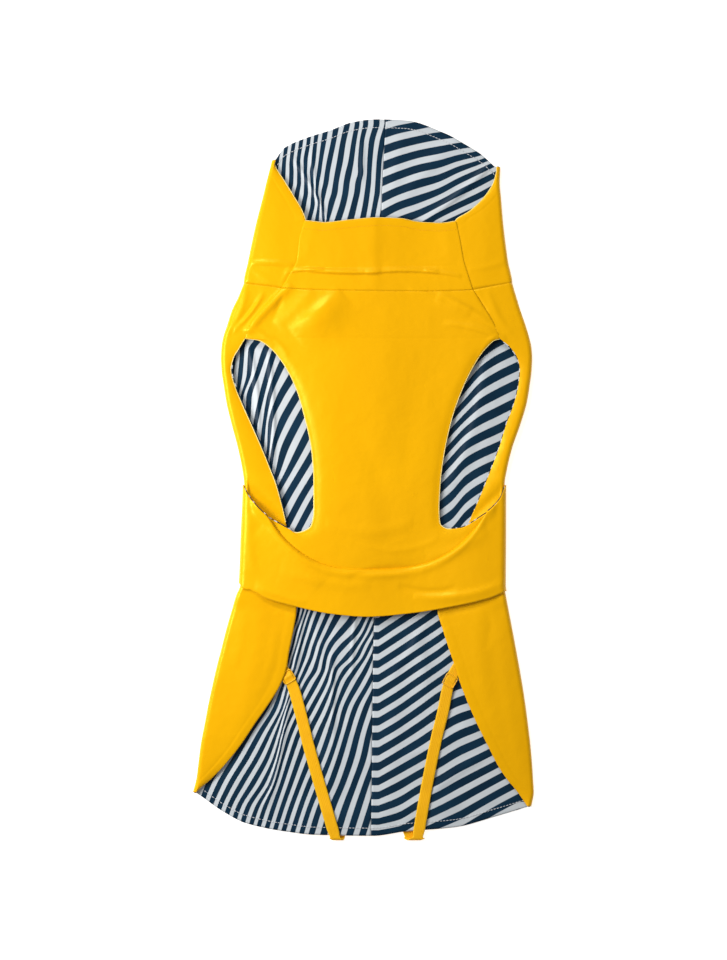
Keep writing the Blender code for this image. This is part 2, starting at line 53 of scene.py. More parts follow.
SEAM_Y, REAR_Y, COLLAR_MID_Y = 157.0, -104.0, 206.4
BAND_BACK_TOP, BAND_BACK_BOTTOM = -4.0, -86.0
WING_END = 25.0
WING_STEP = (25.8, 34.0)
BAND_RADIUS = 3.8
SMILE_LEFT, SMILE_RIGHT = (-76.8, -28.5), (98.5, -25.0)
SMILE_DEPTH, SMILE_POWER = 44.4, 3.0

RISE_BAND_TOP, RISE_BAND_BOTTOM = (8.0, -3.0), (-104.0, -92.0)
RISE_DOUBLED_LEFT, RISE_DOUBLED_RIGHT = (-39.0, -29.4), (38.9, 27.0)
RISE_STRAPS_LEFT, RISE_STRAPS_RIGHT = (-59.6, -46.5), (83.7, 58.7)
RISE_FROM_HEM = (34.0, 16.0)

# Both side folds, both free edges and the centre seam, row by row
BODY_COLUMNS = "y left_fold left_edge centre right_edge right_fold radius"
BODY_ROWS = (
    (157, -95.8, -60.6, 12, 83.3, 118.9, 3.8),
    (146, -100.2, -70.8, 11.8, 90.6, 122.2, 3.8),
    (135.6, -105.2, -80.2, 11.5, 97.2, 125.4, 3.8),
    (124, -109, -90, 11.2, 104, 129.4, 3.8),
    (113.2, -112.4, -94.6, 11, 108.6, 132.6, 3.8),
    (106, -113.6, -98.8, 10.8, 116.6, 134.2, 3.8),
    (97, -114, -104, 10.6, 122.6, 134.8, 3.8),
    (88, -113.6, -105.9, 10.4, 124.6, 134.4, 3.8),
    (76, -111.9, -103.2, 10.2, 123.5, 132.9, 3.8),
    (62, -109.7, -97.6, 10, 120.2, 130.6, 3.8),
    (44, -105.4, -89.6, 9.8, 113.6, 125.3, 3.8),
    (26, -100.6, -81.7, 9.6, 108.2, 119, 3.8),
    (8, -96.9, -74.4, 9.4, 101.4, 114.6, 3.8),
    (-4, -95.4, -69.8, 9.2, 96.6, 112.7, 3.8),
    (-45, -97, -60, 9, 79.6, 112.6, 3.8),
    (-84, -98.6, -54.9, 8.8, 65.4, 112.4, 3.8),
    (-92, -101.8, -54.2, 8.8, 62.6, 113.7, 3.8),
    (-104, -105.4, -53.4, 8.6, 59, 116, 3.8),
    (-118, -109.4, -55.5, 8.2, 62.8, 118.7, 3.8),
    (-138, -114.5, -59.4, 7.6, 69.2, 122.4, 3.75),
    (-150, -117.6, -61.3, 7.4, 73.4, 124.6, 3.7),
    (-164, -120.8, -66.6, 7.2, 77.8, 127, 3.65),
    (-179, -124, -75.7, 7, 83.7, 129.3, 3.6),
    (-195, -127, -86.9, 6.8, 90.7, 131.4, 3.5),
    (-212, -130.2, -98.3, 6.6, 99.2, 133.4, 3.4),
    (-228, -132.2, -111.2, 6.4, 107.3, 134.8, 3.2),
    (-239, -133.6, -121.8, 6.2, 114.6, 135.5, 3),
    (-250, -136.4, -133.2, 6.1, 123.6, 136.1, 2.8),
    (-261.2, -138.8, -135.6, 6, 131, 134.2, 2.8),
)
BODY_ENDS = {"left": -250.0, "right": -261.2}  # where the side folds reach the hem
SEAM_DROP = {"left": 3.8, "right": 5.4}  # how far the collar seam hangs at the free edges
BODY_DROP_ENDS, COLLAR_DROP_ENDS = 135.6, 163.0
EDGE_COLUMNS = "x y"
HEM_ROWS = (
    (-133.6, -250),
    (-110.8, -266),
    (-94, -274.4),
    (-61.2, -281.2),
    (-38, -283.6),
    (7.6, -284.4),
    (34, -280.8),
    (73.2, -277.6),
    (104.4, -269.4),
    (131.4, -261.2),
)

COLLAR_ROWS = (
    (150, -94, -66.8, 12, 87.4, 118.2, 3.8),
    (157, -95.8, -62.8, 12, 85, 118.9, 3.8),
    (174, -92.5, -53, 12.8, 79.6, 115.6, 3.8),
    (191.6, -88.9, -50.4, 13.5, 76.4, 113.2, 3.7),
    (206.4, -85.6, -46.2, 14, 73.3, 111.5, 3.6),
    (214.8, -83.5, -49, 14.5, 85, 110.8, 3.4),
    (226, -80.6, -55.4, 15.3, 96.6, 109.9, 3.2),
    (238.4, -77.7, -63, 16.4, 104.2, 108.9, 2.9),
    (250.6, -74.6, -70.6, 17.6, 107, 109.4, 2.8),
    (256, -73.2, -72.4, 18, 107.6, 109.4, 2.8),
)
COLLAR_ENDS = {"left": 256.0, "right": 250.6}
NECK_ROWS = (
    (-70.4, 256),
    (-63.6, 265.4),
    (-46.8, 273.2),
    (-26.8, 279.6),
    (-9.2, 286),
    (9.2, 288.4),
    (33.2, 287.6),
    (65.2, 277.2),
    (81.2, 268.4),
    (93.2, 261),
    (104.8, 250.6),
)

# The front pieces, row by row from the neck down: both ends of each row, how far its middle hangs below them,
# the height of its top face, and how far its ends roll down.
# Columns: left x, left y, right x, right y, sag, top, roll.
COLLAR_FRONT_ROWS = (
    (-46.4, 206.6, 73.5, 207.2, 0, 7.2, 0),
    (-50.8, 191.6, 76.8, 191.6, 0, 7.4, 0),
    (-52.8, 175, 79.7, 175, 0, 7.6, 0),
    (-55.6, 169, 81.5, 169, 0, 7.6, 0),
    (-59.2, 163, 83.4, 163, 0.5, 7.6, 0),
    (-64.8, 153.5, 87, 151.9, 1.6, 7.6, 0),
)
CHEST_ROWS = (
    (-64.8, 153.4, 87.2, 151.8, 1.5, 7.6, 0),
    (-80.5, 135.6, 97.5, 135.6, 0, 7.6, 0),
    (-90.3, 124, 104.3, 124, 0, 7.6, 0.1),
    (-94.9, 113.4, 108.9, 113.4, 0, 7.5, 0.5),
    (-84, 111.6, 104, 111.2, 0, 7.6, 0.8),
    (-74, 105.2, 96.1, 103.6, 0, 7.6, 1),
    (-63.6, 92.4, 87.6, 90.8, 0, 7.6, 1.1),
    (-54, 74, 78.8, 72.4, 0, 7.6, 1.1),
    (-46.8, 50, 70.8, 50, 0, 7.6, 1.1),
    (-41.2, 22.8, 64.6, 22.8, 0, 7.9, 1.1),
    (-39.6, 0, 61.4, 0, 1, 8.3, 1.1),
    (-39.6, -24, 60.2, -22, 4, 8.7, 1.1),
    (-42.5, -37.5, 61, -34.5, 9, 8.9, 1),
    (-53.2, -42, 68, -39, 14.5, 9, 0.8),
    (-61.2, -38, 78, -38, 24, 9.1, 0.5),
    (SMILE_LEFT[0], SMILE_LEFT[1] - 1, SMILE_RIGHT[0], SMILE_RIGHT[1] - 1, SMILE_DEPTH, 8.8, 0.2),
)
# The free edge of the collar's front: share of the way across, and how far it stands above a straight line
NECKLINE_ROWS = (
    (0, 0.4),
    (0.06, -0.4),
    (0.13, -1.3),
    (0.3, 0.7),
    (0.48, 2.3),
    (0.62, 1.8),
    (0.76, -1.3),
    (0.9, -2.1),
    (1, -0.6),
)

BAND_COLUMNS = "x top bottom"
BAND_ROWS = (
    (-96, -4, -82.5),
    (-91.6, -12.4, -87),
    (-86, -19.6, -89.6),
    (-76.8, -28.5, -94.6),
    (-58.8, -40, -99.6),
    (-26, -50, -106.6),
    (2.8, -50, -109),
    (38, -50, -106.2),
    (69.2, -40, -101.2),
    (98.5, -25, -94.8),
    (104.4, -20, -92.8),
    (109.2, -14, -90.6),
    (113.2, -4, -88.6),
)
BAND_LEFT_BOTTOM, BAND_RIGHT_BOTTOM = -82.5, -88.6

STRAP_COLUMNS = "y x"
STRAPS = {
    "left": dict(
        rows=(
            (-144, -69),
            (-157.2, -60.4),
            (-165, -56.4),
            (-186, -50.4),
            (-212.4, -43.8),
            (-256.4, -31.2),
            (-285.6, -22.6),
        ),
        slider=(-60.4, -157.2),
        slider_angle=31.0,
        under_y=-277.0,
        curl=3.6,
    ),
    "right": dict(
        rows=(
            (-144, 79),
            (-160.2, 69.2),
            (-168.4, 66.9),
            (-186, 63.4),
            (-204.4, 58.8),
            (-252.4, 49.2),
            (-285.6, 43.4),
        ),
        slider=(69.2, -160.2),
        slider_angle=-29.0,
        under_y=-273.0,
        curl=-6.4,
    ),
}
STRAP_TURN_Y = -285.7
TAPE_WIDTH, TAPE_THICK = 9.3, 0.9
SLIDER_WIDE, SLIDER_LONG, SLIDER_ROD = 9.3, 9.2, 0.5
TAPE_IN_SLIDER, TAPE_AT_TURN = 0.86, 0.84  # how much of its width the tape keeps there
TAPE_OVER_BAR = 0.9  # how far the slider's bar lifts the tape


# ---------------------------------------------------------------- curves and fields


class Table:
    """Rows of numbers under named columns, read between rows along a smooth curve that never overshoots."""

    def __init__(self, columns, rows):
        self.names = columns.split()
        self.rows = np.array(sorted(rows), float)

    def at(self, name, where):
        xs = self.rows[:, 0]
        ys = self.rows[:, self.names.index(name)]
        return smooth_through(xs, ys, where)


def smooth_through(xs, ys, where):
    """A curve through (xs, ys), smooth and without overshoot, read at each place."""
    step = np.diff(xs)
    slope = np.diff(ys) / step
    tangent = np.empty_like(ys)
    tangent[0], tangent[-1] = slope[0], slope[-1]
    before, after = slope[:-1], slope[1:]
    same = before * after > 0
    total = np.where(same, before + after, 1.0)
    tangent[1:-1] = np.where(same, 2 * before * after / total, 0.0)
    where = np.clip(np.asarray(where, float), xs[0], xs[-1])
    i = np.clip(np.searchsorted(xs, where) - 1, 0, len(step) - 1)
    t = (where - xs[i]) / step[i]
    near = ys[i] * (1 + 2 * t) * (1 - t) ** 2 + ys[i + 1] * t**2 * (3 - 2 * t)
    return near + step[i] * (tangent[i] * t * (1 - t) ** 2 - tangent[i + 1] * t**2 * (1 - t))


BODY = Table(BODY_COLUMNS, BODY_ROWS)
COLLAR = Table(BODY_COLUMNS, COLLAR_ROWS)
HEM = Table(EDGE_COLUMNS, HEM_ROWS)
NECK = Table(EDGE_COLUMNS, NECK_ROWS)
NECKLINE = Table("share rise", NECKLINE_ROWS)
BAND = Table(BAND_COLUMNS, BAND_ROWS)


def mix(a, b, t):
    return a + (b - a) * t


def ramp(value, zero, one):
    """0 at zero, 1 at one, with soft ends."""
    t = np.clip((value - zero) / (one - zero), 0.0, 1.0)
    return t * t * (3 - 2 * t)


def bell(distance, width):
    return np.exp(-((distance / width) ** 2))


def lift(x, y):
    """How far the shell stands over the surface: over the band, its doubled end, and the strap ends."""
    over_band = ramp(y, *RISE_BAND_TOP) * ramp(y, *RISE_BAND_BOTTOM)
    doubled = ramp(x, *RISE_DOUBLED_LEFT) * ramp(x, *RISE_DOUBLED_RIGHT)
    near_hem = ramp(y - HEM.at("y", x), *RISE_FROM_HEM) * (y < REAR_Y)
    over_straps = near_hem * ramp(x, *RISE_STRAPS_LEFT) * ramp(x, *RISE_STRAPS_RIGHT)
    return LAYER * (over_band * (1 + doubled) + over_straps)


def creases(rows, x, y):
    """The height of soft creases at (x, y). Each runs from one point to another, bowed to its left by bend at
    its middle, as a ridge (height above 0) or a trough, steeper on its left side where lean is above 0."""
    total = np.zeros(np.broadcast(x, y).shape)
    for x0, y0, x1, y1, bend, width, lean, height in rows:
        dx, dy = x1 - x0, y1 - y0
        length = math.hypot(dx, dy)
        t = ((x - x0) * dx + (y - y0) * dy) / length**2
        side = (-(x - x0) * dy + (y - y0) * dx) / length - bend * 4 * t * (1 - t)
        broad = width * np.where(side > 0, 1 - lean, 1 + lean)
        ends = np.clip(t, 0, 1) * np.clip(1 - t, 0, 1) * 4
        total = total + height * bell(side, broad) * np.sqrt(ends)
    return total


# Soft creases of the front: collar, shoulders, chest, band, then the rear flaps.
# Columns: start x, start y, end x, end y, bend, width, lean, height.
FRONT_CREASES = (
    # the fold across the collar: thin troughs with a bright, uneven ridge under them
    (-57, 170.8, -4, 169.4, -0.6, 0.9, 0, -0.3),
    (12, 170.2, 70, 170.8, 0.4, 0.8, 0, -0.25),
    (-90, 172.6, -56, 170.6, 1, 1.8, -0.45, 1.6),
    (-62, 165.4, -32, 167.4, 0.8, 1.4, -0.45, 1.2),
    (-46, 166.8, 14, 165.6, -0.8, 2, -0.45, 1.9),
    (2, 164.6, 60, 165.2, 2, 2, -0.45, 1.5),
    (48, 166.6, 78, 161.8, 0.6, 1.5, -0.45, 1),
    (84, 168, 114, 174.6, -1.6, 2.2, -0.3, 0.5),
    (-96, 182, -98, 158, 0.8, 1.4, 0, 0.6),
    (-92, 160.6, -64, 157.6, 0.4, 1.3, 0, 0.4),
    (-88, 168, -70, 158, -1, 1.6, 0, 0.4),
    (-58, 171.6, -66, 156, 0, 1.6, 0, 0.4),
    # the lift between the collar's halves
    (8, 214, 8.5, 150, 0, 7, 0.3, 0.7),
    (-40, 206, -46, 176, 0, 5, 0, 0.4),
    (64, 206, 70, 176, 0, 6, 0, 0.4),
    # the left shoulder
    (-57, 155.6, -94, 116.6, -1.2, 3.2, 0, 2.1),
    (-63.6, 150, -73, 126, 0.6, 1.5, 0, -0.7),
    (-18, 151, -58, 119, 2, 9, -0.4, 1.8),
    (-40, 151, -70, 124, 1, 6, 0, 1.2),
    (-68, 151, -92, 123, 0.6, 1.1, 0, 0.5),
    (-80, 149, -104, 119, 2, 2, 0, 1.3),
    (-86, 144, -99, 126, 1, 1.8, 0, -0.5),
    (-93, 152, -110, 116, 3, 2.4, 0, 0.7),
    (-104, 119, -72, 107, 6, 2, 0, 0.9),
    (-80, 116, -60, 98, 3, 1.8, 0, 0.5),
    # the right shoulder
    (36, 152, 64, 143, 0.6, 2.2, 0, 0.6),
    (60, 148.6, 100, 127, 0.8, 2, 0, 0.9),
    (58, 146, 86, 134, -1, 4.5, 0, 0.9),
    (64, 125, 114, 112, 2, 2.4, -0.2, 1.1),
    (80, 131, 112, 117, 1, 1.3, 0, -0.35),
    (89, 150, 100, 132, 0, 1.2, 0, -0.4),
    (99, 152, 119, 116, -3, 3, 0.1, 0.5),
    (108, 116, 92, 99, -2, 2, 0, 0.7),
    # the chest, broad and faint
    (-40, 92, -22, -26, 5, 10, 0, 0.4),
    (18, 120, 12, 20, 3, 14, 0, 0.5),
    (60, 84, 46, -28, -5, 9, 0, 0.35),
    (-10, 44, 24, -50, 5, 10, 0, -0.5),
    (-30, -34, 40, -32, -8, 5, 0, 0.6),
    (-4, -50, 60, -46, -8, 3, 0, 0.4),
    # the band
    (-84, -40, -34, -84, 4, 8, 0, 0.9),
    (-66, -72, 6, -84, -3, 5, 0, 0.6),
    (-12, -78, 46, -72, 4, 3.2, 0.2, -0.9),
    (28, -84, 74, -86, -4, 3, 0.2, -0.9),
    (40, -92, 112, -82, -5, 3.6, 0.2, 1.2),
    (52, -62, 98, -40, -4, 5, 0, 0.9),
    (-86, -84, -46, -98, -1, 3, 0, 0.9),
    (-90, -26, -88, -74, -2, 4, 0, 0.6),
    # the left rear flap
    (-84, -98, -110, -236, 6, 10, 0, 0.6),
    (-96, -104, -104, -150, 2, 5, 0, 0.4),
    (-70, -118, -84, -170, 3, 4, 0, 0.3),
    # the right rear flap
    (99, -104, 97, -136, 3, 3, 0.1, -0.3),
    (90, -104, 108, -206, -4, 7, 0, 0.5),
    (110, -106, 128, -236, -4, 6, 0, 0.4),
)
# Creases of the side flaps alone, beside and under the band
FLAP_CREASES = (
    (-97, -4, -56, -45, 0.5, 6, 0, -4.2),
    (114, -4, 80, -38, 0, 4, 0, -1.4),
    (-100, -88, -50, -104, -2, 4, 0, -0.8),
    (112, -92, 58, -104, 2, 4, 0, -0.8),
)

# Broad swells of the front: x, y, half sizes, height
FRONT_SWELLS = (
    (-34, 130, 20, 16, 3.4),
    (-24, 70, 38, 80, 1.6),
    (48, 190, 30, 34, -1.6),
    (52, 60, 34, 90, -2.2),
    (40, -70, 34, 46, -2.6),
    (-50, -60, 34, 40, 1),
    (92, -60, 20, 40, 0.6),
    (-20, 188, 26, 20, 0.8),
    (-72, 196, 14, 40, 0.8),
    (96, 196, 14, 40, 0.8),
    (-88, -150, 26, 56, 0.6),
    (96, -160, 22, 60, 0.6),
)


def swells(rows, x, y):
    total = np.zeros(np.broadcast(x, y).shape)
    for cx, cy, wide, tall, height in rows:
        total = total + height * np.exp(-(((x - cx) / wide) ** 2) - ((y - cy) / tall) ** 2)
    return total


def front_field(x, y):
    """The soft relief of every front layer."""
    return swells(FRONT_SWELLS, x, y) + creases(FRONT_CREASES, x, y)


# Troughs pressed up into the back, seen from below
BACK_CREASES = (
    (-60, 140, -20, 60, 8, 6, 0, 0.5),
    (70, 130, 24, 40, -6, 5, 0, 0.5),
    (-80, -120, -60, -230, 6, 6, 0, 0.6),
    (-20, -116, -30, -250, -4, 5, 0, 0.5),
    (40, -120, 60, -230, 5, 6, 0, 0.6),
    (96, -118, 104, -220, -3, 5, 0, 0.5),
    (-40, 200, 60, 206, 6, 5, 0, 0.4),
)

# Ridges and troughs of the lining, along its pleats: those of the neck, the armholes, then the rear
LINING_CREASES = (
    (-58, 260, -27, 204, 2, 1.2, 0, 1.9),
    (-42, 264, -33, 216, -1, 1.2, 0, 1.2),
    (-1, 270, -1, 238, 0, 1.6, 0, 1),
    (104, 254, 46, 205, 2, 2.6, 0.2, 1.8),
    (30, 284, 16, 204, 2, 6, 0, 0.8),
    (84, 280, 24, 214, -3, 6, 0, 0.9),
    (-92, 110, -84, 30, 3, 1.4, 0.2, 1.9),
    (-76, 106, -73, 4, 2.6, 1.6, 0.2, 2),
    (98, 110, 66, -10, 8, 6, -0.3, 1.6),
    (112, 104, 92, 0, 0, 6, 0, 0.6),
    (-50, -100, -61, -176, 3, 1.8, 0, 1.8),
    (-60, -168, -78, -262, 3, 1.9, 0, 1.9),
    (-6, -106, -9, -160, -1, 1.2, 0, 1.6),
    (-25, -136, -24, -214, 0, 1.5, 0, 1.6),
    (-96, -210, -110, -262, 0, 6, 0, 0.6),
    (-40, -108, -34, -150, 2, 4, 0, 0.8),
    (-14, -190, -30, -276, -3, 7, 0, 0.7),
    (40, -110, 46, -190, 4, 6, 0.2, 0.8),
    (24, -150, 16, -276, 3, 7, 0, 0.7),
    (52, -110, 20, -160, 2, 3, 0, 0.7),
    (100, -218, 40, -264, -3, 3.6, 0, 0.9),
    (84, -196, 30, -222, 3, 4, 0, 0.7),
)

# A chart of each stretch of lining: where the middles of its navy stripes lie. Stripes are numbered across
# the stretch. Each row is a level, and then the places on it of the stripes that are listed. Where "by" is y,
# levels are heights and places go to the right, and where it is x, the other way round.
STRIPE_CHARTS = {
    "collar_left": dict(
        by="y",
        stripes=(-7, -5, -4, -3, -2, -1, 0, 1, 2, 3, 4),
        rows=(
            (284, -61, -48.5, -43, -36.5, -29.5, -21.5, -13, -5, 1.5, 10.5, 19),
            (270, -61.5, -50, -44, -38.5, -32, -24, -16.5, -7.5, -1.5, 6.5, 15),
            (254, -63.5, -52, -46.5, -40, -34.5, -27.5, -19, -10, -2.5, 5, 12.5),
            (246, -64, -51.5, -46.5, -41.5, -35.5, -29, -20.5, -12, -2, 4.5, 12),
            (238, -64.5, -51.5, -46, -41, -37, -30, -22, -13.5, -4, 4, 11.5),
            (230, -66.5, -53, -46, -40.5, -37.5, -32, -23, -14.5, -5, 3, 11),
            (222, -68, -54.5, -47.5, -40.5, -35.5, -33, -25.5, -16, -7, 2, 9.5),
            (206, -71, -58, -51, -44, -37.5, -31.5, -29.5, -21, -11, -1, 6.5),
        ),
    ),
    "collar_right": dict(
        by="x",
        stripes=(-2, 0, 2, 4),
        rows=(
            (12, 184, 210.5, 237, 262.5),
            (28, 195, 219, 243.5, 268),
            (44, 202, 224.5, 249, 272),
            (60, 211.5, 230.5, 252.5, 275),
            (76, 219.5, 239, 257.5, 276.5),
            (92, 227, 246.5, 261, 278),
            (108, 236, 254, 266, 280),
        ),
    ),
    "arm_left": dict(
        by="y",
        stripes=(-11, -10, -9, -8, -7, -6, -5, -3, -1),
        rows=(
            (112, -97, -84, -74, -67, -54, -41, -28, -4, 20),
            (104, -97, -90, -78, -71, -59, -45, -32, -8, 16),
            (85, -98.5, -91.5, -85, -76.5, -69, -55.5, -42, -18, 6),
            (65, -101, -97.5, -92, -81.5, -76, -67.5, -54.5, -30, -6),
            (45, -104, -99, -92, -86.5, -79, -75, -65.5, -40.5, -16),
            (25, -110, -104, -97, -89, -81.5, -76, -72.5, -50.5, -26),
            (5, -114, -108, -101, -94, -87, -80, -75.5, -61, -38),
            (-15, -122, -116, -110, -104, -97, -90, -83, -72, -50),
            (-40, -132, -126, -120, -114, -107, -100, -94, -84, -63),
        ),
    ),
    "arm_right": dict(
        by="x",
        stripes=(-2, 1, 4, 6),
        rows=(
            (60, -34.5, 4, 39, 60),
            (70, -28, 15, 49.5, 71),
            (82, -14.5, 27.5, 62.5, 86),
            (94, -6, 34.5, 75, 100),
            (106, -0.5, 40, 82.5, 109),
            (118, 5, 46, 88.5, 115),
            (130, 10, 52, 94, 121),
        ),
    ),
    "rear_left": dict(
        by="y",
        stripes=(-8, -6, -4, -3, -2, -1, 0, 1, 2, 4, 6),
        rows=(
            (-104, -48, -41, -27, -18.5, -4.5, 3.5, 9, 14, 19, 30, 41),
            (-112, -50.5, -44, -30.5, -23, -9.5, 0, 5, 10, 15, 26, 37),
            (-122, -54, -47, -35, -28, -18.5, -5.5, 0.5, 5.5, 10.5, 21, 32),
            (-132, -56.5, -50, -39, -33, -26.5, -16, -5.5, -0.5, 5.5, 16, 27),
            (-142, -59.5, -53, -42, -36, -30.5, -24, -13.5, -5.5, 0.5, 12, 23),
            (-152, -62.5, -55.5, -46.5, -39, -32.5, -27, -22.5, -14.5, -6.5, 9, 20),
            (-162, -67.5, -59.5, -51, -45.5, -37.5, -30.5, -25, -20.5, -13, 4.5, 17),
            (-182, -77.5, -65, -60, -55, -48.5, -41, -33.5, -26.5, -21.5, -6.5, 11),
            (-202, -91, -75, -65.5, -63.5, -58, -51.5, -43.5, -35, -27, -13, 4.5),
            (-222, -102.5, -85, -71, -68, -64.5, -58.5, -51, -42.5, -34, -19, 0),
            (-242, -114.5, -97, -80, -74, -70.5, -65, -58, -50.5, -43, -26, -7),
            (-262, -123, -107.5, -92.5, -85, -79, -72, -65, -58, -50.5, -35, -14.5),
            (-284, -129, -114, -99.5, -92.5, -86, -79, -72, -65, -57.5, -42, -21.5),
        ),
    ),
    "rear_right": dict(
        by="x",
        stripes=(-8, -5, -3, 0, 3, 6),
        rows=(
            (12, -292, -263, -241, -205, -170, -136),
            (28, -291, -257, -232, -195.5, -160, -125.5),
            (44, -283, -247.5, -223, -184.5, -149, -115),
            (60, -275.5, -240, -213.5, -173, -138.5, -104),
            (76, -268.5, -230.5, -204, -164, -127, -93),
            (92, -259.5, -222.5, -197.5, -160, -122, -86),
            (108, -250.5, -214.5, -190, -154, -117, -81),
            (124, -242, -206, -182, -146, -110, -74),
        ),
    ),
}


def count_between(marks, numbers, where):
    """How far each place is along the numbered marks, as a smooth count, and evenly on past their ends."""
    step = np.diff(marks, axis=0)
    slope = np.diff(numbers)[:, None] / step
    inner = 2 * slope[:-1] * slope[1:] / (slope[:-1] + slope[1:])
    tangent = np.concatenate([slope[:1], inner, slope[-1:]])
    low = np.clip((where >= marks).sum(0) - 1, 0, len(step) - 1)[None]
    below, above = (np.take_along_axis(tangent, low + k, 0)[0] for k in (0, 1))
    width = np.take_along_axis(step, low, 0)[0]
    t = (where - np.take_along_axis(marks, low, 0)[0]) / width
    inside = np.clip(t, 0, 1)
    first, last = numbers[low[0]], numbers[low[0] + 1]
    count = first * (1 + 2 * inside) * (1 - inside) ** 2 + last * inside**2 * (3 - 2 * inside)
    count = count + width * (below * inside * (1 - inside) ** 2 - above * inside**2 * (1 - inside))
    return count + (t - inside) * width * np.where(t < 0, below, above)


def stripes(name, x, y):
    """The number of the stripe at a point: whole at the middle of a navy stripe."""
    chart = STRIPE_CHARTS[name]
    level, place = (y, x) if chart["by"] == "y" else (x, y)
    rows = np.array(sorted(chart["rows"]), float)
    marks = np.stack([smooth_through(rows[:, 0], rows[:, k], level) for k in range(1, rows.shape[1])])
    return count_between(marks, np.array(chart["stripes"], float), place)


CHARTS_MEET = (-88.0, -48.0)  # the heights between which the rear's chart gives way to the armhole's


def body_stripes(side, x, y):
    return mix(stripes("rear_" + side, x, y), stripes("arm_" + side, x, y), ramp(y, *CHARTS_MEET))


def collar_stripes(side, x, y):
    return stripes("collar_" + side, x, y)


# ---------------------------------------------------------------- surfaces

# How far the free edge of a side flap hangs below its fold
DROOP_ROWS = (
    (-261.2, 1.6),
    (-240, 2),
    (-180, 2.4),
    (-110, 2.4),
    (-80, 3.4),
    (-20, 2.4),
    (0, 2.2),
    (60, 1.6),
    (100, 1),
    (113.2, 0.4),
    (122, 0),
    (206, 0),
    (212, 0.4),
    (226, 1),
    (240, 1.2),
    (256, 1.2),
)
DROOP = Table("y droop", DROOP_ROWS)
DROOP_POWER = 1.7

SEAM_DIP, SEAM_WIDTH = 0.18, 1.0
SIDE_SEAM = 0.6  # the side seams are pressed flatter
SEAM_LAP, SEAM_RAISE = 0.6, 0.14  # how far the front pieces lap over the flaps there, and stand up
SEAM_STARTS, SEAM_ENDS = (112.0, 116.0), (209.0, 205.0)  # where the side seams fade in, and out again
HEM_IN, HEM_RIDGE = 6.2, 0.16  # where the stitched inner edge of a turned hem lies, and how proud the hem is
HEM_STEP, HEM_GROOVE = 0.9, 0.12
LEAST_FLAP = 0.2  # a flap never gets narrower than this
BACK_FADE = 0.12  # the share of the back, beside its folds, where creases die out


def seam(distance):
    """How far the cloth dips beside a seam."""
    return SEAM_DIP * bell(distance, SEAM_WIDTH)


def turned_hem(away):
    """The doubled cloth of a hem, from its edge to its line of stitches."""
    doubled = HEM_RIDGE * ramp(away, HEM_IN + HEM_STEP, HEM_IN - HEM_STEP) * ramp(away, -0.2, 1.2)
    return doubled - HEM_GROOVE * bell(away - HEM_IN, 0.8)


def fold_relief(x, y, angle):
    """The front's relief, which dies out round a fold, at an angle counted from the front."""
    return front_field(x, y) * math.cos(angle / 2) ** 2 * max(0.0, math.cos(angle * 0.75))


def wrapped(cut, rows, spots, depth, inset=0.0, end_inset=0.0):
    """Points of a piece that goes round both side folds, at a depth inwards from the coat's outer face.

    A row is 0 at the collar seam, 1 where rows stop being level, 2 at the hem or the neck edge. A spot is a
    side, a zone and a share: flap from free edge to fold, fold from front to back, back from fold to centre.
    """
    table, mid_y = cut["table"], cut["mid_y"]
    rows = np.asarray(rows, float)

    def down_to(end_y):
        return np.where(rows <= 1, mix(SEAM_Y, mid_y, rows), mix(mid_y, end_y, rows - 1))

    centre = table.at("centre", down_to(sum(cut["ends"].values()) / 2))
    grid = np.empty((len(rows), len(spots), 3))
    for k, (side, zone, share) in enumerate(spots):
        out = -1.0 if side == "left" else 1.0
        end_y = cut["ends"][side]
        side_y = down_to(end_y)
        if zone == "back":
            tip = table.at(side + "_fold", end_y) - out * table.at("radius", end_y)
            end_y = cut["end"].at("y", mix(tip, centre[-1], share))
        y = down_to(end_y + cut["inwards"] * end_inset)
        radius = table.at("radius", side_y)
        start = table.at(side + "_fold", side_y) - out * radius
        if zone == "flap":
            y = y - SEAM_DROP[side] * (1 - share) * np.clip(1 - rows / cut["drop_ends"], 0, 1)
            edge = table.at(side + "_edge", y) + out * inset
            edge = np.where((edge - start) * out > -LEAST_FLAP, start - out * LEAST_FLAP, edge)
            x = mix(edge, start, share)
            away = np.abs(x - edge)
            z = 2 * radius - depth + front_field(x, y) + creases(FLAP_CREASES, x, y)
            z = z - DROOP.at("droop", y) * (1 - share) ** DROOP_POWER
            z = z - SIDE_SEAM * seam(away) * ramp(y, *SEAM_STARTS) * ramp(y, *SEAM_ENDS)
            z = z + turned_hem(away * cut["hem_turn"](y))
        elif zone == "fold":
            angle = math.pi * share
            x = start + out * (radius - depth) * math.sin(angle)
            z = radius + (radius - depth) * math.cos(angle) + fold_relief(x, y, angle)
        else:
            x = mix(start, centre, share)
            fade = ramp(share, 0.0, BACK_FADE)
            z = depth + fade * creases(BACK_CREASES, x, y)
            if cut["lining"]:
                z = z + fade * creases(LINING_CREASES, x, y)
        if zone != "back" and not cut["lining"]:
            z = z - seam(np.abs(y - y[0])) * max(0.0, math.cos(angle / 2) if zone == "fold" else 1.0)
        grid[:, k] = np.stack([x, y, z + cut["lift"](x, y)], 1)
    return grid


ROLL_WIDTH = 4.5
NECKLINE_FADE = 1.6  # how many rows down the neckline's curve goes


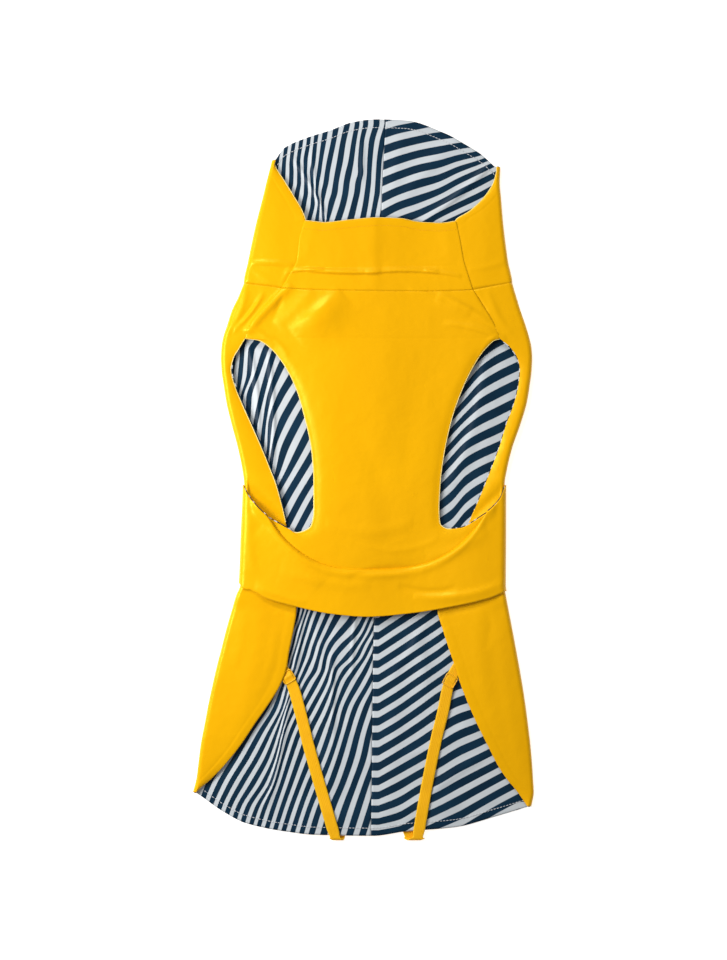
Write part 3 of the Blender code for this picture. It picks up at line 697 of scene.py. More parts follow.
def front_panel(rows, across, down, depth, collar=False):
    """Points of a front piece, at a depth under its top face. Its rows are straight or hang in the middle."""
    table = np.array(rows, float)
    places = np.arange(len(table), dtype=float)
    columns = [smooth_through(places, table[:, k], down)[:, None] for k in range(table.shape[1])]
    left_x, left_y, right_x, right_y, sag, top, roll = columns
    t = np.asarray(across, float)[None, :]
    hang = 1 - np.abs(2 * t - 1) ** SMILE_POWER
    on_shoulder = ramp(left_y, *SEAM_STARTS)
    left_x, right_x = left_x - SEAM_LAP * on_shoulder, right_x + SEAM_LAP * on_shoulder
    x = mix(left_x, right_x, t)
    y = mix(left_y, right_y, t) - sag * hang
    if collar:
        y = y + NECKLINE.at("rise", t) * np.clip(1 - down / NECKLINE_FADE, 0, 1)[:, None]
    z = top - depth + front_field(x, y)
    near_side = np.minimum(x - left_x, right_x - x)
    z = z - roll * bell(near_side, ROLL_WIDTH) - (SIDE_SEAM * seam(near_side) - SEAM_RAISE) * on_shoulder
    if collar:
        z = z - seam(y - y[-1]) + turned_hem(y[0] - y + 0 * x)
    else:
        z = z - seam(y[0] - y) - seam(y - smile_y(x)) * (np.abs(2 * t - 1) < 1)
    return np.stack([x, y, z], 2)


def smile_y(x):
    """The seam between chest and band, which hangs like a smile."""
    t = (x - SMILE_LEFT[0]) / (SMILE_RIGHT[0] - SMILE_LEFT[0])
    hang = 1 - np.abs(2 * np.clip(t, 0, 1) - 1) ** SMILE_POWER
    return mix(SMILE_LEFT[1], SMILE_RIGHT[1], t) - SMILE_DEPTH * hang


def band_top(x):
    """The band's top edge on the front: the chest seam, and the free edges beside it."""
    on_seam = (x >= SMILE_LEFT[0]) & (x <= SMILE_RIGHT[0])
    return np.where(on_seam, smile_y(x), BAND.at("top", x))


BAND_TOP, BAND_THICK = 10.2, 1.0
BAND_GAPE_LEFT, BAND_GAPE_RIGHT, BAND_GAPE_WIDTH = 2.6, 1.4, 7.0  # its free edges stand off the flaps
BAND_CORNER = 6.0  # how far inside the folds they do so in full
BAND_LOOSENS = 14.0  # how far inside its ends the chest seam holds the band down in full
BAND_FROM_FOLD = 0.8  # how far inside the folds the band's flat front starts
WING_TAPER_LEFT, WING_TAPER_RIGHT = 115.0, 80.0  # over these lengths the wings widen
WING_LEFT_STARTS, WING_RIGHT_STARTS = -84.0, 100.0  # where they leave the folds, on the back
# The soft roll of the band under the chest seam, and the cloth pressed down at the seam itself
PUFF_IN, PUFF_WIDE, PRESS, PRESS_WIDE = 4.4, 3.0, 1.1, 1.2
PUFF_LOSS, PUFF_LOWERS = 0.4, (10.0, 60.0)  # how much lower it is at the right, and where it goes down


def band_surface(depth):
    """Points of the belly band: its left wing under the back, the front, then its right wing."""
    columns = []
    down = np.linspace(0.0, 1.0, 44)
    radius = BAND_RADIUS

    def add(x, y, z):
        columns.append(np.stack([x + 0 * down, y, z + 0 * down], 1))

    def back(x, side_bottom, widened, z):
        bottom = mix(BAND_BACK_BOTTOM, side_bottom, np.clip(widened, 0, 1))
        add(x, mix(BAND_BACK_TOP, bottom, down), z + depth)

    def fold(side, bottom, share):
        out = -1.0 if side == "left" else 1.0
        angle = math.pi * share
        reach = radius + LAYER - depth
        at_top = BODY.at(side + "_fold", BAND_BACK_TOP) + out * (reach * math.sin(angle) - radius)
        ends = (BAND.at("top", at_top), BAND.at("bottom", at_top)) if share < 0.5 else (BAND_BACK_TOP, bottom)
        y = mix(*ends, down)
        x = BODY.at(side + "_fold", y) + out * (reach * math.sin(angle) - radius)
        add(x, y, LAYER + radius + reach * math.cos(angle) + fold_relief(x, y, angle))

    for x in np.linspace(WING_END, WING_LEFT_STARTS, 26):
        back(x, BAND_LEFT_BOTTOM, (WING_END - x) / WING_TAPER_LEFT, 0.0)
    for share in np.linspace(1.0, 0.0, 14):
        fold("left", BAND_LEFT_BOTTOM, share)
    left_x = BODY.at("left_fold", BAND_BACK_TOP) + radius + BAND_FROM_FOLD
    right_x = BODY.at("right_fold", BAND_BACK_TOP) - radius - BAND_FROM_FOLD
    for x in np.linspace(left_x, right_x, 150):
        top = band_top(np.array(x))
        y = mix(top, BAND.at("bottom", x), down)
        z = BAND_TOP - depth + front_field(x, y)
        held_left = ramp(x, SMILE_LEFT[0] - 2, SMILE_LEFT[0] + BAND_LOOSENS)
        free = 1.0 - held_left * ramp(x, SMILE_RIGHT[0] + 2, SMILE_RIGHT[0] - BAND_LOOSENS)
        gape = BAND_GAPE_LEFT if x < 0 else BAND_GAPE_RIGHT
        at_corner = ramp(x, left_x, left_x + BAND_CORNER) * ramp(x, right_x, right_x - BAND_CORNER)
        z = z + gape * free * at_corner * bell(y - top, BAND_GAPE_WIDTH)
        puff = (1.0 - PUFF_LOSS * ramp(x, *PUFF_LOWERS)) * bell(y - top + PUFF_IN, PUFF_WIDE)
        z = z + (1 - free) * (puff - PRESS * bell(y - top, PRESS_WIDE))
        add(x, y, z)
    for share in np.linspace(0.0, 1.0, 14):
        fold("right", BAND_RIGHT_BOTTOM, share)
    before_step = np.linspace(WING_RIGHT_STARTS, WING_STEP[1], 14)
    for x in (*before_step, *np.linspace(WING_STEP[1] - 1.5, -WING_END, 16)):
        height = LAYER * float(ramp(x, *WING_STEP[::-1]))
        back(x, BAND_RIGHT_BOTTOM, (x - WING_END) / WING_TAPER_RIGHT, height)
    return np.stack(columns, 1)


# What a distance from a free edge counts as, for a turned hem: less where the hem is wide, and far too much
# where there is none
FLAP_HEM, TIP_HEM, NO_HEM = 0.78, 0.75, 99.0
TIP_HEM_Y = 206.0


def body_cut(lining):
    return dict(
        table=BODY,
        mid_y=REAR_Y,
        end=HEM,
        ends=BODY_ENDS,
        drop_ends=(SEAM_Y - BODY_DROP_ENDS) / (SEAM_Y - REAR_Y),
        lift=lift,
        inwards=1.0,
        lining=lining,
        hem_turn=lambda y: np.where(y < REAR_Y, FLAP_HEM, NO_HEM),
    )


def collar_cut(lining):
    return dict(
        table=COLLAR,
        mid_y=COLLAR_MID_Y,
        end=NECK,
        ends=COLLAR_ENDS,
        drop_ends=(COLLAR_DROP_ENDS - SEAM_Y) / (COLLAR_MID_Y - SEAM_Y),
        lift=lambda x, y: 0 * x,
        inwards=-1.0,
        lining=lining,
        hem_turn=lambda y: np.where(y > TIP_HEM_Y, TIP_HEM, NO_HEM),
    )


def half(side, flap_steps, fold_steps, back_steps):
    """The spots of one side, from the free edge to the centre of the back."""
    spots = [(side, "flap", share) for share in np.linspace(0.0, 1.0, flap_steps + 1)]
    spots += [(side, "fold", share) for share in np.linspace(0.0, 1.0, fold_steps + 1)[1:]]
    return spots + [(side, "back", share) for share in np.linspace(0.0, 1.0, back_steps + 1)[1:]]


def both_halves(*steps):
    return half("left", *steps) + half("right", *steps)[-2::-1]


# ---------------------------------------------------------------- meshes


def finish_mesh(name, points, faces, material):
    """A smooth mesh object from points in millimetres and quads or triangles."""
    mesh = bpy.data.meshes.new(name)
    points = np.asarray(points, np.float32) * MM
    faces = np.asarray(faces, np.int32)
    mesh.vertices.add(len(points))
    mesh.vertices.foreach_set("co", points.ravel())
    corners = faces.shape[1]
    mesh.loops.add(faces.size)
    mesh.loops.foreach_set("vertex_index", faces.ravel())
    mesh.polygons.add(len(faces))
    mesh.polygons.foreach_set("loop_start", np.arange(0, faces.size, corners, dtype=np.int32))
    mesh.polygons.foreach_set("loop_total", np.full(len(faces), corners, np.int32))
    mesh.update(calc_edges=True)
    mesh.validate()
    mesh.polygons.foreach_set("use_smooth", np.full(len(mesh.polygons), True))
    mesh.materials.append(material)
    piece = bpy.data.objects.new(name, mesh)
    bpy.context.scene.collection.objects.link(piece)
    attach(piece, "root")
    return piece


def set_values(piece, name, values):
    """A number for each point of the mesh, which its material reads."""
    layer = piece.data.attributes.new(name, "FLOAT", "POINT")
    layer.data.foreach_set("value", np.asarray(values, np.float32).ravel())


def wall(name, outer, inner, material, slot):
    """A closed cloth wall between two equal grids of points, the outer one facing out."""
    rows, columns = outer.shape[:2]
    count = rows * columns
    index = np.arange(count).reshape(rows, columns)
    a, b = index[:-1, :-1].ravel(), index[:-1, 1:].ravel()
    c, d = index[1:, 1:].ravel(), index[1:, :-1].ravel()
    rim = np.concatenate([index[0, :], index[1:, -1], index[-1, -2::-1], index[-2:0:-1, 0]])
    after = np.roll(rim, -1)
    top, under = np.stack([a, b, c, d], 1), np.stack([d, c, b, a], 1) + count
    sides = np.stack([after, rim, rim + count, after + count], 1)
    faces = np.concatenate([top, under, sides])
    outer, inner = outer.reshape(-1, 3), inner.reshape(-1, 3)
    turn = np.cross(outer[b] - outer[a], outer[d] - outer[a])
    if (turn * (inner[a] - outer[a])).sum() > 0:
        faces = faces[:, ::-1]
    return finish_mesh(name, np.concatenate([outer, inner]), faces, material)


def unit(vectors):
    return vectors / (np.linalg.norm(vectors, axis=1)[:, None] + 1e-12)


def rods(name, parts, material):
    """One mesh of rods. Each is a grid of rings of points round a line, closed at the line's two ends."""
    points, quads, caps, base = [], [], [], 0
    for rings, line in parts:
        count, sides = rings.shape[:2]
        index = np.arange(count * sides).reshape(count, sides) + base
        after = np.roll(index, -1, 1)
        quads.append(np.stack([index[:-1], after[:-1], after[1:], index[1:]], 2).reshape(-1, 4))
        first, last = base + count * sides, base + count * sides + 1
        for k in range(sides):
            caps.append((after[0, k], index[0, k], first))
            caps.append((index[-1, k], after[-1, k], last))
        points += [rings.reshape(-1, 3), line[:1], line[-1:]]
        base += count * sides + 2
    quads = np.concatenate(quads)
    triangles = np.concatenate([quads[:, [0, 1, 2]], quads[:, [0, 2, 3]], np.array(caps)])
    return finish_mesh(name, np.concatenate(points), triangles, material)


TUBE_TIP = 0.35  # a tube's radius at its ends, as a share


def tube(name, lines, radius, material, sides=6):
    """Thin round rods along lines of points."""
    turns = (np.arange(sides) * 2 * math.pi / sides)[None, :, None]
    parts = []
    for line in lines:
        line = np.asarray(line, float)
        run = unit(np.gradient(line, axis=0))
        side = unit(np.cross(run, np.array([0.0, 0.0, 1.0])))
        over = np.cross(side, run)
        ring = side[:, None] * np.cos(turns) + over[:, None] * np.sin(turns)
        taper = np.ones(len(line))
        taper[0] = taper[-1] = TUBE_TIP
        parts.append((line[:, None] + ring * radius * taper[:, None, None], line))
    return rods(name, parts, material)


def along(line, spacing):
    """Points evenly along a line."""
    line = np.asarray(line, float)
    steps = np.linalg.norm(np.diff(line, axis=0), axis=1)
    reached = np.concatenate([[0.0], np.cumsum(steps)])
    count = max(2, int(reached[-1] / spacing))
    wanted = np.linspace(0, reached[-1], count)
    return np.stack([np.interp(wanted, reached, line[:, k]) for k in range(3)], 1)


def moved(line, x, y, z):
    return np.asarray(line, float) + (x, y, z)


STITCH_PITCH, STITCH_LENGTH, STITCH_ARCH, STITCH_SUNK = 2.6, 2.3, 0.12, 0.6
STITCH_STEP = 0.2


def stitch_lines(line, raised):
    """Short threads along a line, each a low arch, raised over the line."""
    line = along(line, STITCH_STEP)
    step, reach = (int(round(size / STITCH_STEP)) for size in (STITCH_PITCH, STITCH_LENGTH))
    threads = []
    for start in range(0, len(line) - reach, step):
        thread = line[start : start + reach + 1 : 2].copy()
        arch = np.sin(np.linspace(0, math.pi, len(thread)))
        thread[:, 2] += STITCH_ARCH * (arch - STITCH_SUNK)
        threads.append(moved(thread, 0.0, 0.0, raised))
    return threads


# ---------------------------------------------------------------- materials


class Nodes:
    """Short words for building a node tree."""

    def __init__(self, name, roughness, specular=0.5):
        self.material = bpy.data.materials.new(name)
        self.material.use_nodes = True
        self.tree = self.material.node_tree
        self.shader = self.tree.nodes["Principled BSDF"]
        self.shader.inputs["Roughness"].default_value = roughness
        self.shader.inputs["Specular IOR Level"].default_value = specular

    def add(self, kind, **settings):
        node = self.tree.nodes.new(kind)
        for key, value in settings.items():
            setattr(node, key, value)
        return node

    def link(self, out, into):
        self.tree.links.new(out, into)

    def math(self, operation, a, b=None):
        node = self.add("ShaderNodeMath", operation=operation)
        for k, value in enumerate((a, b)):
            if isinstance(value, (int, float)):
                node.inputs[k].default_value = value
            elif value is not None:
                self.link(value, node.inputs[k])
        return node.outputs[0]

    def noise(self, scale, detail=3.0):
        node = self.add("ShaderNodeTexNoise")
        node.inputs["Scale"].default_value = scale
        node.inputs["Detail"].default_value = detail
        self.link(self.add("ShaderNodeTexCoord").outputs["Object"], node.inputs["Vector"])
        return node.outputs["Fac"]

    def steps(self, value, low, high, to_low=0.0, to_high=1.0):
        node = self.add("ShaderNodeMapRange")
        self.link(value, node.inputs["Value"])
        for key, number in (("From Min", low), ("From Max", high), ("To Min", to_low), ("To Max", to_high)):
            node.inputs[key].default_value = number
        return node.outputs["Result"]

    def blend(self, share, first, second):
        """A colour between two, each a colour or a socket."""
        node = self.add("ShaderNodeMix", data_type="RGBA")
        self.link(share, node.inputs["Factor"])
        for key, value in ((6, first), (7, second)):
            if isinstance(value, tuple):
                node.inputs[key].default_value = (*value, 1.0)
            else:
                self.link(value, node.inputs[key])
        return node.outputs[2]

    def bump(self, height, strength, distance):
        node = self.add("ShaderNodeBump")
        node.inputs["Strength"].default_value = strength
        node.inputs["Distance"].default_value = distance
        self.link(height, node.inputs["Height"])
        self.link(node.outputs["Normal"], self.shader.inputs["Normal"])

    def colour(self, socket):
        self.link(socket, self.shader.inputs["Base Color"])

    def value_of(self, name):
        return self.add("ShaderNodeAttribute", attribute_name=name).outputs["Fac"]


YELLOW, YELLOW_DEEP = (0.86, 0.42, 0.0006), (0.83, 0.397, 0.0005)
GOLD_SHEEN = (1.0, 0.86, 0.12)
NAVY, NAVY_LIGHT = (0.002, 0.019, 0.042), (0.003, 0.026, 0.056)
WHITE, WHITE_DIM = (0.57, 0.605, 0.63), (0.53, 0.565, 0.59)
TAPE, TAPE_DEEP, TAPE_EDGE = (0.9, 0.45, 0.001), (0.86, 0.41, 0.001), (0.88, 0.5, 0.008)
# A pale yellow painted highlight for the thin rolls along the armholes, the left flap's edge and the neck
# edge
EDGE_HIGHLIGHT_PAINT, EDGE_HIGHLIGHT_PAINT_DEEP = (0.95, 0.78, 0.32), (0.92, 0.66, 0.14)
PALE_THREAD, PALE_THREAD_DIM = (0.72, 0.72, 0.74), (0.6, 0.62, 0.66)
YELLOW_THREAD, YELLOW_THREAD_DEEP = (0.9, 0.46, 0.005), (0.8, 0.36, 0.004)
SLIDER_YELLOW, SLIDER_DEEP = (0.9, 0.46, 0.01), (0.86, 0.42, 0.006)
FLOOR_GREY, FLOOR_LIGHT = (0.8, 0.8, 0.8), (0.82, 0.82, 0.82)
WEAVE = 900.0  # the scale of the fine noise that stands for a weave
STRIPE_EDGE = (-0.26, -0.08)  # where the wave across a pair of stripes turns from white to navy
TAPE_RIBS = 7


def shell_material():
    """Smooth coated rainwear cloth: strong yellow, a soft sheen, fine wrinkles, a weave under the coating."""
    made = Nodes("coated_yellow_cloth", 0.4, 0.7)
    patches = made.noise(9.0, 4.0)
    made.colour(made.blend(made.steps(patches, 0.35, 0.7), YELLOW, YELLOW_DEEP))
    made.shader.inputs["Specular Tint"].default_value = (*GOLD_SHEEN, 1.0)
    wrinkles = made.math("ADD", made.noise(42.0), made.math("MULTIPLY", made.noise(130.0), 0.22))
    fine = made.math("MULTIPLY", made.noise(WEAVE, 2.0), 0.03)
    made.bump(made.math("ADD", wrinkles, fine), 0.5, 0.0016)
    made.link(made.steps(patches, 0.3, 0.7, 0.3, 0.38), made.shader.inputs["Roughness"])
    return made.material


def lining_material():
    """Woven lining with diagonal stripes, which the points number."""
    made = Nodes("striped_lining_cloth", 0.42, 0.13)
    wave = made.math("COSINE", made.math("MULTIPLY", made.value_of("stripe"), 2 * math.pi))
    tint = made.steps(made.noise(40.0), 0.35, 0.7)
    white, navy = made.blend(tint, WHITE, WHITE_DIM), made.blend(tint, NAVY, NAVY_LIGHT)
    made.colour(made.blend(made.steps(wave, *STRIPE_EDGE), white, navy))
    fine = made.math("MULTIPLY", made.noise(WEAVE, 2.0), 0.05)
    made.bump(made.math("ADD", made.noise(60.0), fine), 0.5, 0.0012)
    return made.material


def plain_material(name, colour, second, roughness, scale=60.0, strength=0.1):
    made = Nodes(name, roughness, 0.3)
    made.colour(made.blend(made.steps(made.noise(scale), 0.35, 0.7), colour, second))
    made.bump(made.noise(scale * 8, 2.0), strength, 0.0002)
    return made.material


def tape_material():
    """Woven elastic tape: lengthwise ribs and paler woven edges. Points know their place across the tape."""
    made = Nodes("woven_elastic_tape", 0.55, 0.2)
    across = made.value_of("across")
    ribs = made.math("SINE", made.math("MULTIPLY", across, 2 * math.pi * TAPE_RIBS))
    edge = made.steps(made.math("ABSOLUTE", across), 0.36, 0.47)
    middle = made.blend(made.steps(made.noise(120.0), 0.3, 0.7), TAPE, TAPE_DEEP)
    made.colour(made.blend(edge, middle, TAPE_EDGE))
    made.bump(made.math("ADD", made.math("MULTIPLY", ribs, 0.35), made.noise(1100.0, 2.0)), 0.5, 0.0002)
    return made.material


# ---------------------------------------------------------------- pieces

shell = shell_material()
stripe_cloth = lining_material()
tape_cloth = tape_material()
thread_white = plain_material("pale_thread", PALE_THREAD, PALE_THREAD_DIM, 0.6)
thread_yellow = plain_material("yellow_thread", YELLOW_THREAD, YELLOW_THREAD_DEEP, 0.6)
# The pale rolls along the openings are a painted highlight on their folded edges, not a cloth of their own
edge_highlight_paint = plain_material("painted_edge_highlight", EDGE_HIGHLIGHT_PAINT, EDGE_HIGHLIGHT_PAINT_DEEP, 0.5)
slider_plastic = plain_material("yellow_plastic", SLIDER_YELLOW, SLIDER_DEEP, 0.3, 30.0, 0.03)

BODY_DOWN = [*np.linspace(0, 1, 150), *np.linspace(1, 2, 110)[1:]]
COLLAR_UP = [*np.linspace(0, 1, 36), *np.linspace(1, 2, 48)[1:]]
LINING_INSET = 0.3  # how far the lining keeps inside the flaps' free edges
SHELL_END_INSET = 0.6  # how far the shell keeps inside the hem and the neck edge


def cloth(name, node, faces, material, slot):
    """A cloth wall in place of a CAD solid, which it hides."""
    piece = wall(name, *faces, material, slot)
    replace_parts(piece, node)
    return piece


def make_shell():
    body = (body_cut(False), BODY_DOWN, both_halves(34, 12, 26))
    faces = [wrapped(*body, depth, 0.0, SHELL_END_INSET) for depth in (0.0, CLOTH)]
    cloth("back_panel_shell", "back_panel", faces, shell, "shell")
    collar = (collar_cut(False), COLLAR_UP, both_halves(26, 12, 24))
    faces = [wrapped(*collar, depth, 0.0, SHELL_END_INSET) for depth in (0.0, CLOTH)]
    cloth("collar_back_shell", "collar_back", faces, shell, "shell")


def make_linings():
    for side in ("left", "right"):
        spots = half(side, 14, 8, 84)
        for node, cut, rows, count, flat, area, under in (
            (
                "lining_", body_cut(True), BODY_DOWN, body_stripes,
                (0.2, 0.44), 0.067, "back_panel_shell",
            ),
            (
                "collar_lining_", collar_cut(True), COLLAR_UP, collar_stripes,
                (0.15, 0.137), 0.0155, "collar_back_shell",
            ),
        ):
            depths = (LINING_DEPTH, LINING_DEPTH + LINING_THICK)
            faces = [wrapped(cut, rows, spots, depth, LINING_INSET) for depth in depths]
            name = node + side + "_cloth"
            piece = cloth(name, node + side, faces, stripe_cloth, "lining")
            x, y, _ = np.concatenate([face.reshape(-1, 3) for face in faces]).T
            set_values(piece, "stripe", count(side, x, y))


def make_front():
    across, down = np.linspace(0, 1, 110), np.linspace(0, len(CHEST_ROWS) - 1, 200)
    faces = [front_panel(CHEST_ROWS, across, down, depth) for depth in (0.0, CLOTH)]
    cloth("chest_panel_shell", "chest_panel", faces, shell, "shell")
    down = np.linspace(0, len(COLLAR_FRONT_ROWS) - 1, 60)
    faces = [front_panel(COLLAR_FRONT_ROWS, across, down, depth, True) for depth in (0.0, CLOTH)]
    cloth("collar_front_shell", "collar_front", faces, shell, "shell")
    faces = [band_surface(depth) for depth in (0.0, BAND_THICK)]
    cloth("belly_band_shell", "belly_band", faces, shell, "shell")


# The pale rolls of this radius are painted highlight along folded edges; the striped ones are lining, in
# places painted shade
EDGE_THICK = 0.42  # the radius of a roll of cloth along an edge
ARMHOLE_TOP = 113.2
ARMHOLE_TOP_ROW, ARMHOLE_LOW_ROW = 3.0, 13.3  # the rows of the chest between which its armholes lie
ARMHOLE_BOTTOMS = {"left": -34.0, "right": -24.0}
# Along the left armhole a striped roll lies under this height: lining with white specks above y 50 mm, and
# under that a plain navy line, a painted shadow
LEFT_ROLL_TOP = 92.0  # the height under which lining shows along the left armhole
LEFT_ROLL_MOVE, BAND_ROLL_MOVE = (0.95, 0.0, -0.05), (0.0, 0.35, -0.3)  # how far they lie off their edges
STRIPE_SWING = 0.36  # how far the count of stripes swings along a thin roll, from white towards navy


def chest_edges(first, last):
    """Both free edges of the chest panel between two of its rows."""
    grid = front_panel(CHEST_ROWS, [0.0, 1.0], np.linspace(first, last, 300), CLOTH / 2)
    return [along(grid[:, 0], 0.5), along(grid[:, 1], 0.5)]


def flap_edge(cut, side, low, high, depth):
    """The free edge of a flap, between two of its rows."""
    return wrapped(cut, np.linspace(low, high, 260), [(side, "flap", 0.0)], depth)[:, 0]


def neck_edge():
    """The collar's front edge, from tip to tip."""
    top = front_panel(COLLAR_FRONT_ROWS, np.linspace(0, 1, 160), np.array([0.0, 0.01]), CLOTH / 2, True)[0]
    left, right = (flap_edge(collar_cut(False), side, 1.0, 2.0, CLOTH / 2) for side in ("left", "right"))
    return along(np.concatenate([left[::-1], top, right]), 1.0)


def band_edges():
    """The band's free top edges beside the chest seam, from its corners inwards."""
    top = band_surface(BAND_THICK / 2)[0]
    facing = top[:, 2] > BAND_TOP - 3.0
    left = top[facing & (top[:, 0] < SMILE_LEFT[0] + 1)]
    right = top[facing & (top[:, 0] > SMILE_RIGHT[0] - 1)]
    return [along(left, 0.5), along(right, 0.5)]


def striped_edge(name, lines, count):
    """A thin roll of the striped lining cloth along an edge: lining that shows there, or, where its count
    stays near a whole number, a plain navy line of painted shade. Its stripes are counted by a rule.
    """
    piece = tube(name, lines, EDGE_THICK, stripe_cloth)
    points = np.empty(len(piece.data.vertices) * 3, np.float32)
    piece.data.vertices.foreach_get("co", points)
    x, y, _ = (points.reshape(-1, 3) / MM).T
    set_values(piece, "stripe", count(x, y))


def swing(place):
    return STRIPE_SWING * np.sin(place)


def make_edges():
    """Pale yellow rolls round each opening, a painted highlight along their folded edges, and thin striped
    rolls beside some of them: lining, which along the left armhole and under the band's free edges is in part
    painted shade.
    """
    cut, top = body_cut(False), body_row(ARMHOLE_TOP)
    left, right = (
        along(flap_edge(cut, side, top, body_row(low), CLOTH / 2), 0.5)
        for side, low in ARMHOLE_BOTTOMS.items()
    )
    pale = [*chest_edges(ARMHOLE_TOP_ROW, ARMHOLE_LOW_ROW), neck_edge(), left]
    tube("painted_highlight_edges", pale, EDGE_THICK, edge_highlight_paint)
    striped_edge("right_armhole_lining_edge", [right], lambda x, y: y / 7.0)
    # Below y 50 mm this roll's count stays at 0, so it is a plain navy line: a painted shadow under the
    # flap's edge. Above that, white specks of lining show.
    beside = moved(left[left[:, 1] < LEFT_ROLL_TOP], *LEFT_ROLL_MOVE)
    striped_edge("left_armhole_lining_and_painted_shadow_edge", [beside], lambda x, y: swing(y / 2.3) * ramp(y, 50.0, 80.0))
    # This roll under the chest's lower corners and the band's free top edges stays mostly navy with white
    # specks: partly lining, partly painted shade in the gap under the band
    corners = chest_edges(ARMHOLE_LOW_ROW + 0.3, len(CHEST_ROWS) - 1.02)
    under = [moved(line, *BAND_ROLL_MOVE) for line in (*corners, *band_edges())]
    striped_edge("band_lining_and_painted_shade_edges", under, lambda x, y: swing((x - y) / 2.6) + 0.1 * np.sin(x))


def body_row(y):
    """Where a height falls down the body's level rows."""
    return (SEAM_Y - y) / (SEAM_Y - REAR_Y)


def hem_line(cut, inset):
    """A line across the back at the hem or the neck edge, this far inside it, on the lining."""
    halves = []
    for side in ("left", "right"):
        spots = [(side, "back", share) for share in np.linspace(0.0, 1.0, 220)]
        halves.append(wrapped(cut, [0.0, 1.0, 2.0], spots, LINING_DEPTH + LINING_THICK, 0.0, inset)[2])
    return np.concatenate([halves[0], halves[1][::-1][1:]])


PALE_THREAD_THICK, PALE_THREAD_RAISED = 0.27, 0.26  # a thread's radius, and how far it lies over the cloth
YELLOW_THREAD_THICK, YELLOW_THREAD_RAISED = 0.14, 0.1


def make_stitches():
    """The row of stitches round the hem and the neck edge, and the one along the collar's front."""
    white = stitch_lines(hem_line(body_cut(True), HEM_IN), PALE_THREAD_RAISED)
    white += stitch_lines(hem_line(collar_cut(True), HEM_IN + 0.4), PALE_THREAD_RAISED)
    tube("hem_stitches", white, PALE_THREAD_THICK, thread_white, 5)
    neck = front_panel(COLLAR_FRONT_ROWS, np.linspace(0, 1, 160), np.linspace(0, 1.2, 60), 0.0, True)
    inside = np.argmin(np.abs((neck[0, :, 1] - neck[:, :, 1]) - HEM_IN), axis=0)
    yellow = stitch_lines(neck[inside, np.arange(neck.shape[1])], YELLOW_THREAD_RAISED)
    tube("shell_stitches", yellow, YELLOW_THREAD_THICK, thread_yellow, 5)


SLIDER_REACH = 5.5  # how far along the tape a slider narrows and lifts it
SLIDER_TURNS = (-46.0, -4.0)  # where, counted from the slider, the tape turns to the slider's angle
TAPE_GAP = 0.3  # how far the tape's middle lies over the two layers under it


def tape_frames(strap):
    """The tape's middle line, the angle across it in degrees, and its share of the full width."""
    route = Table(STRAP_COLUMNS, strap["rows"])
    start_y, slider_y = strap["rows"][0][0], strap["slider"][1]
    below = (slider_y - 10, STRAP_TURN_Y, 90)
    runs = ((start_y, slider_y + 6.5, 10), (slider_y + 6, slider_y - 9, 44), below)
    ys = np.concatenate([np.linspace(*run) for run in runs])
    xs = route.at("x", ys)
    at_slider = bell(ys - slider_y, SLIDER_REACH)
    zs = 2 * LAYER + TAPE_GAP + lift(xs, ys) + TAPE_OVER_BAR * at_slider + 0.4 * bell(ys - slider_y, 1.2)
    angles = strap["slider_angle"] * ramp(ys - slider_y, *SLIDER_TURNS)
    wide = 1 - (1 - TAPE_IN_SLIDER) * at_slider - (1 - TAPE_AT_TURN) * bell(ys - STRAP_TURN_Y, 4.0)
    over = np.stack([xs, ys, zs, angles, wide], 1)
    under, curl = TAPE_THICK / 2, strap["curl"]
    radius = (zs[-1] - under) / 2
    slope = (xs[-1] - xs[-2]) / (ys[-2] - ys[-1])
    bends = []
    for share in np.linspace(0, 1, 15)[1:]:
        angle = math.pi * share
        x = xs[-1] + slope * radius * math.sin(angle) + curl * share
        y = STRAP_TURN_Y - radius * math.sin(angle)
        bends.append((x, y, under + radius * (1 + math.cos(angle)), 0.0, TAPE_AT_TURN))
    for share in np.linspace(0, 1, 8)[1:]:
        y = mix(STRAP_TURN_Y, strap["under_y"], share)
        bends.append((xs[-1] + curl * (1 + 0.5 * share), y, under, 0.0, mix(TAPE_AT_TURN, 1.0, share)))
    return np.concatenate([over, bends])


TAPE_EDGE_POWER = 10  # how square the edges of the tape's section are


def make_strap(name, strap):
    rows = tape_frames(strap)
    middle, angle = rows[:, :3], np.radians(rows[:, 3])
    run = unit(np.gradient(middle, axis=0))
    across = np.stack([np.cos(angle), np.sin(angle), 0 * angle], 1)
    normal = unit(np.cross(across, run))
    across /= np.linalg.norm(np.cross(across, run), axis=1)[:, None]
    ring = [(u, math.sqrt(max(0.0, 1 - abs(u) ** TAPE_EDGE_POWER))) for u in np.linspace(-1, 1, 15)]
    u, v = np.array(ring + [(u, -v) for u, v in ring[-2:0:-1]]).T
    half_wide, half_thick = TAPE_WIDTH / 2 * rows[:, 4], TAPE_THICK / 2
    sideways = across[:, None] * (u[None] * half_wide[:, None])[..., None]
    rings = middle[:, None] + sideways + normal[:, None] * (v * half_thick)[None, :, None]
    piece = rods(name, [(rings, middle)], tape_cloth)
    set_values(piece, "across", np.concatenate([np.tile(u / 2, len(rows)), [0, 0]]))
    return piece


# The round of a slider's corners, how far it lies over the layers under it, and its bar below it
SLIDER_CORNER, SLIDER_ABOVE, SLIDER_BAR_DROP = 1.3, 1.5, 1.0


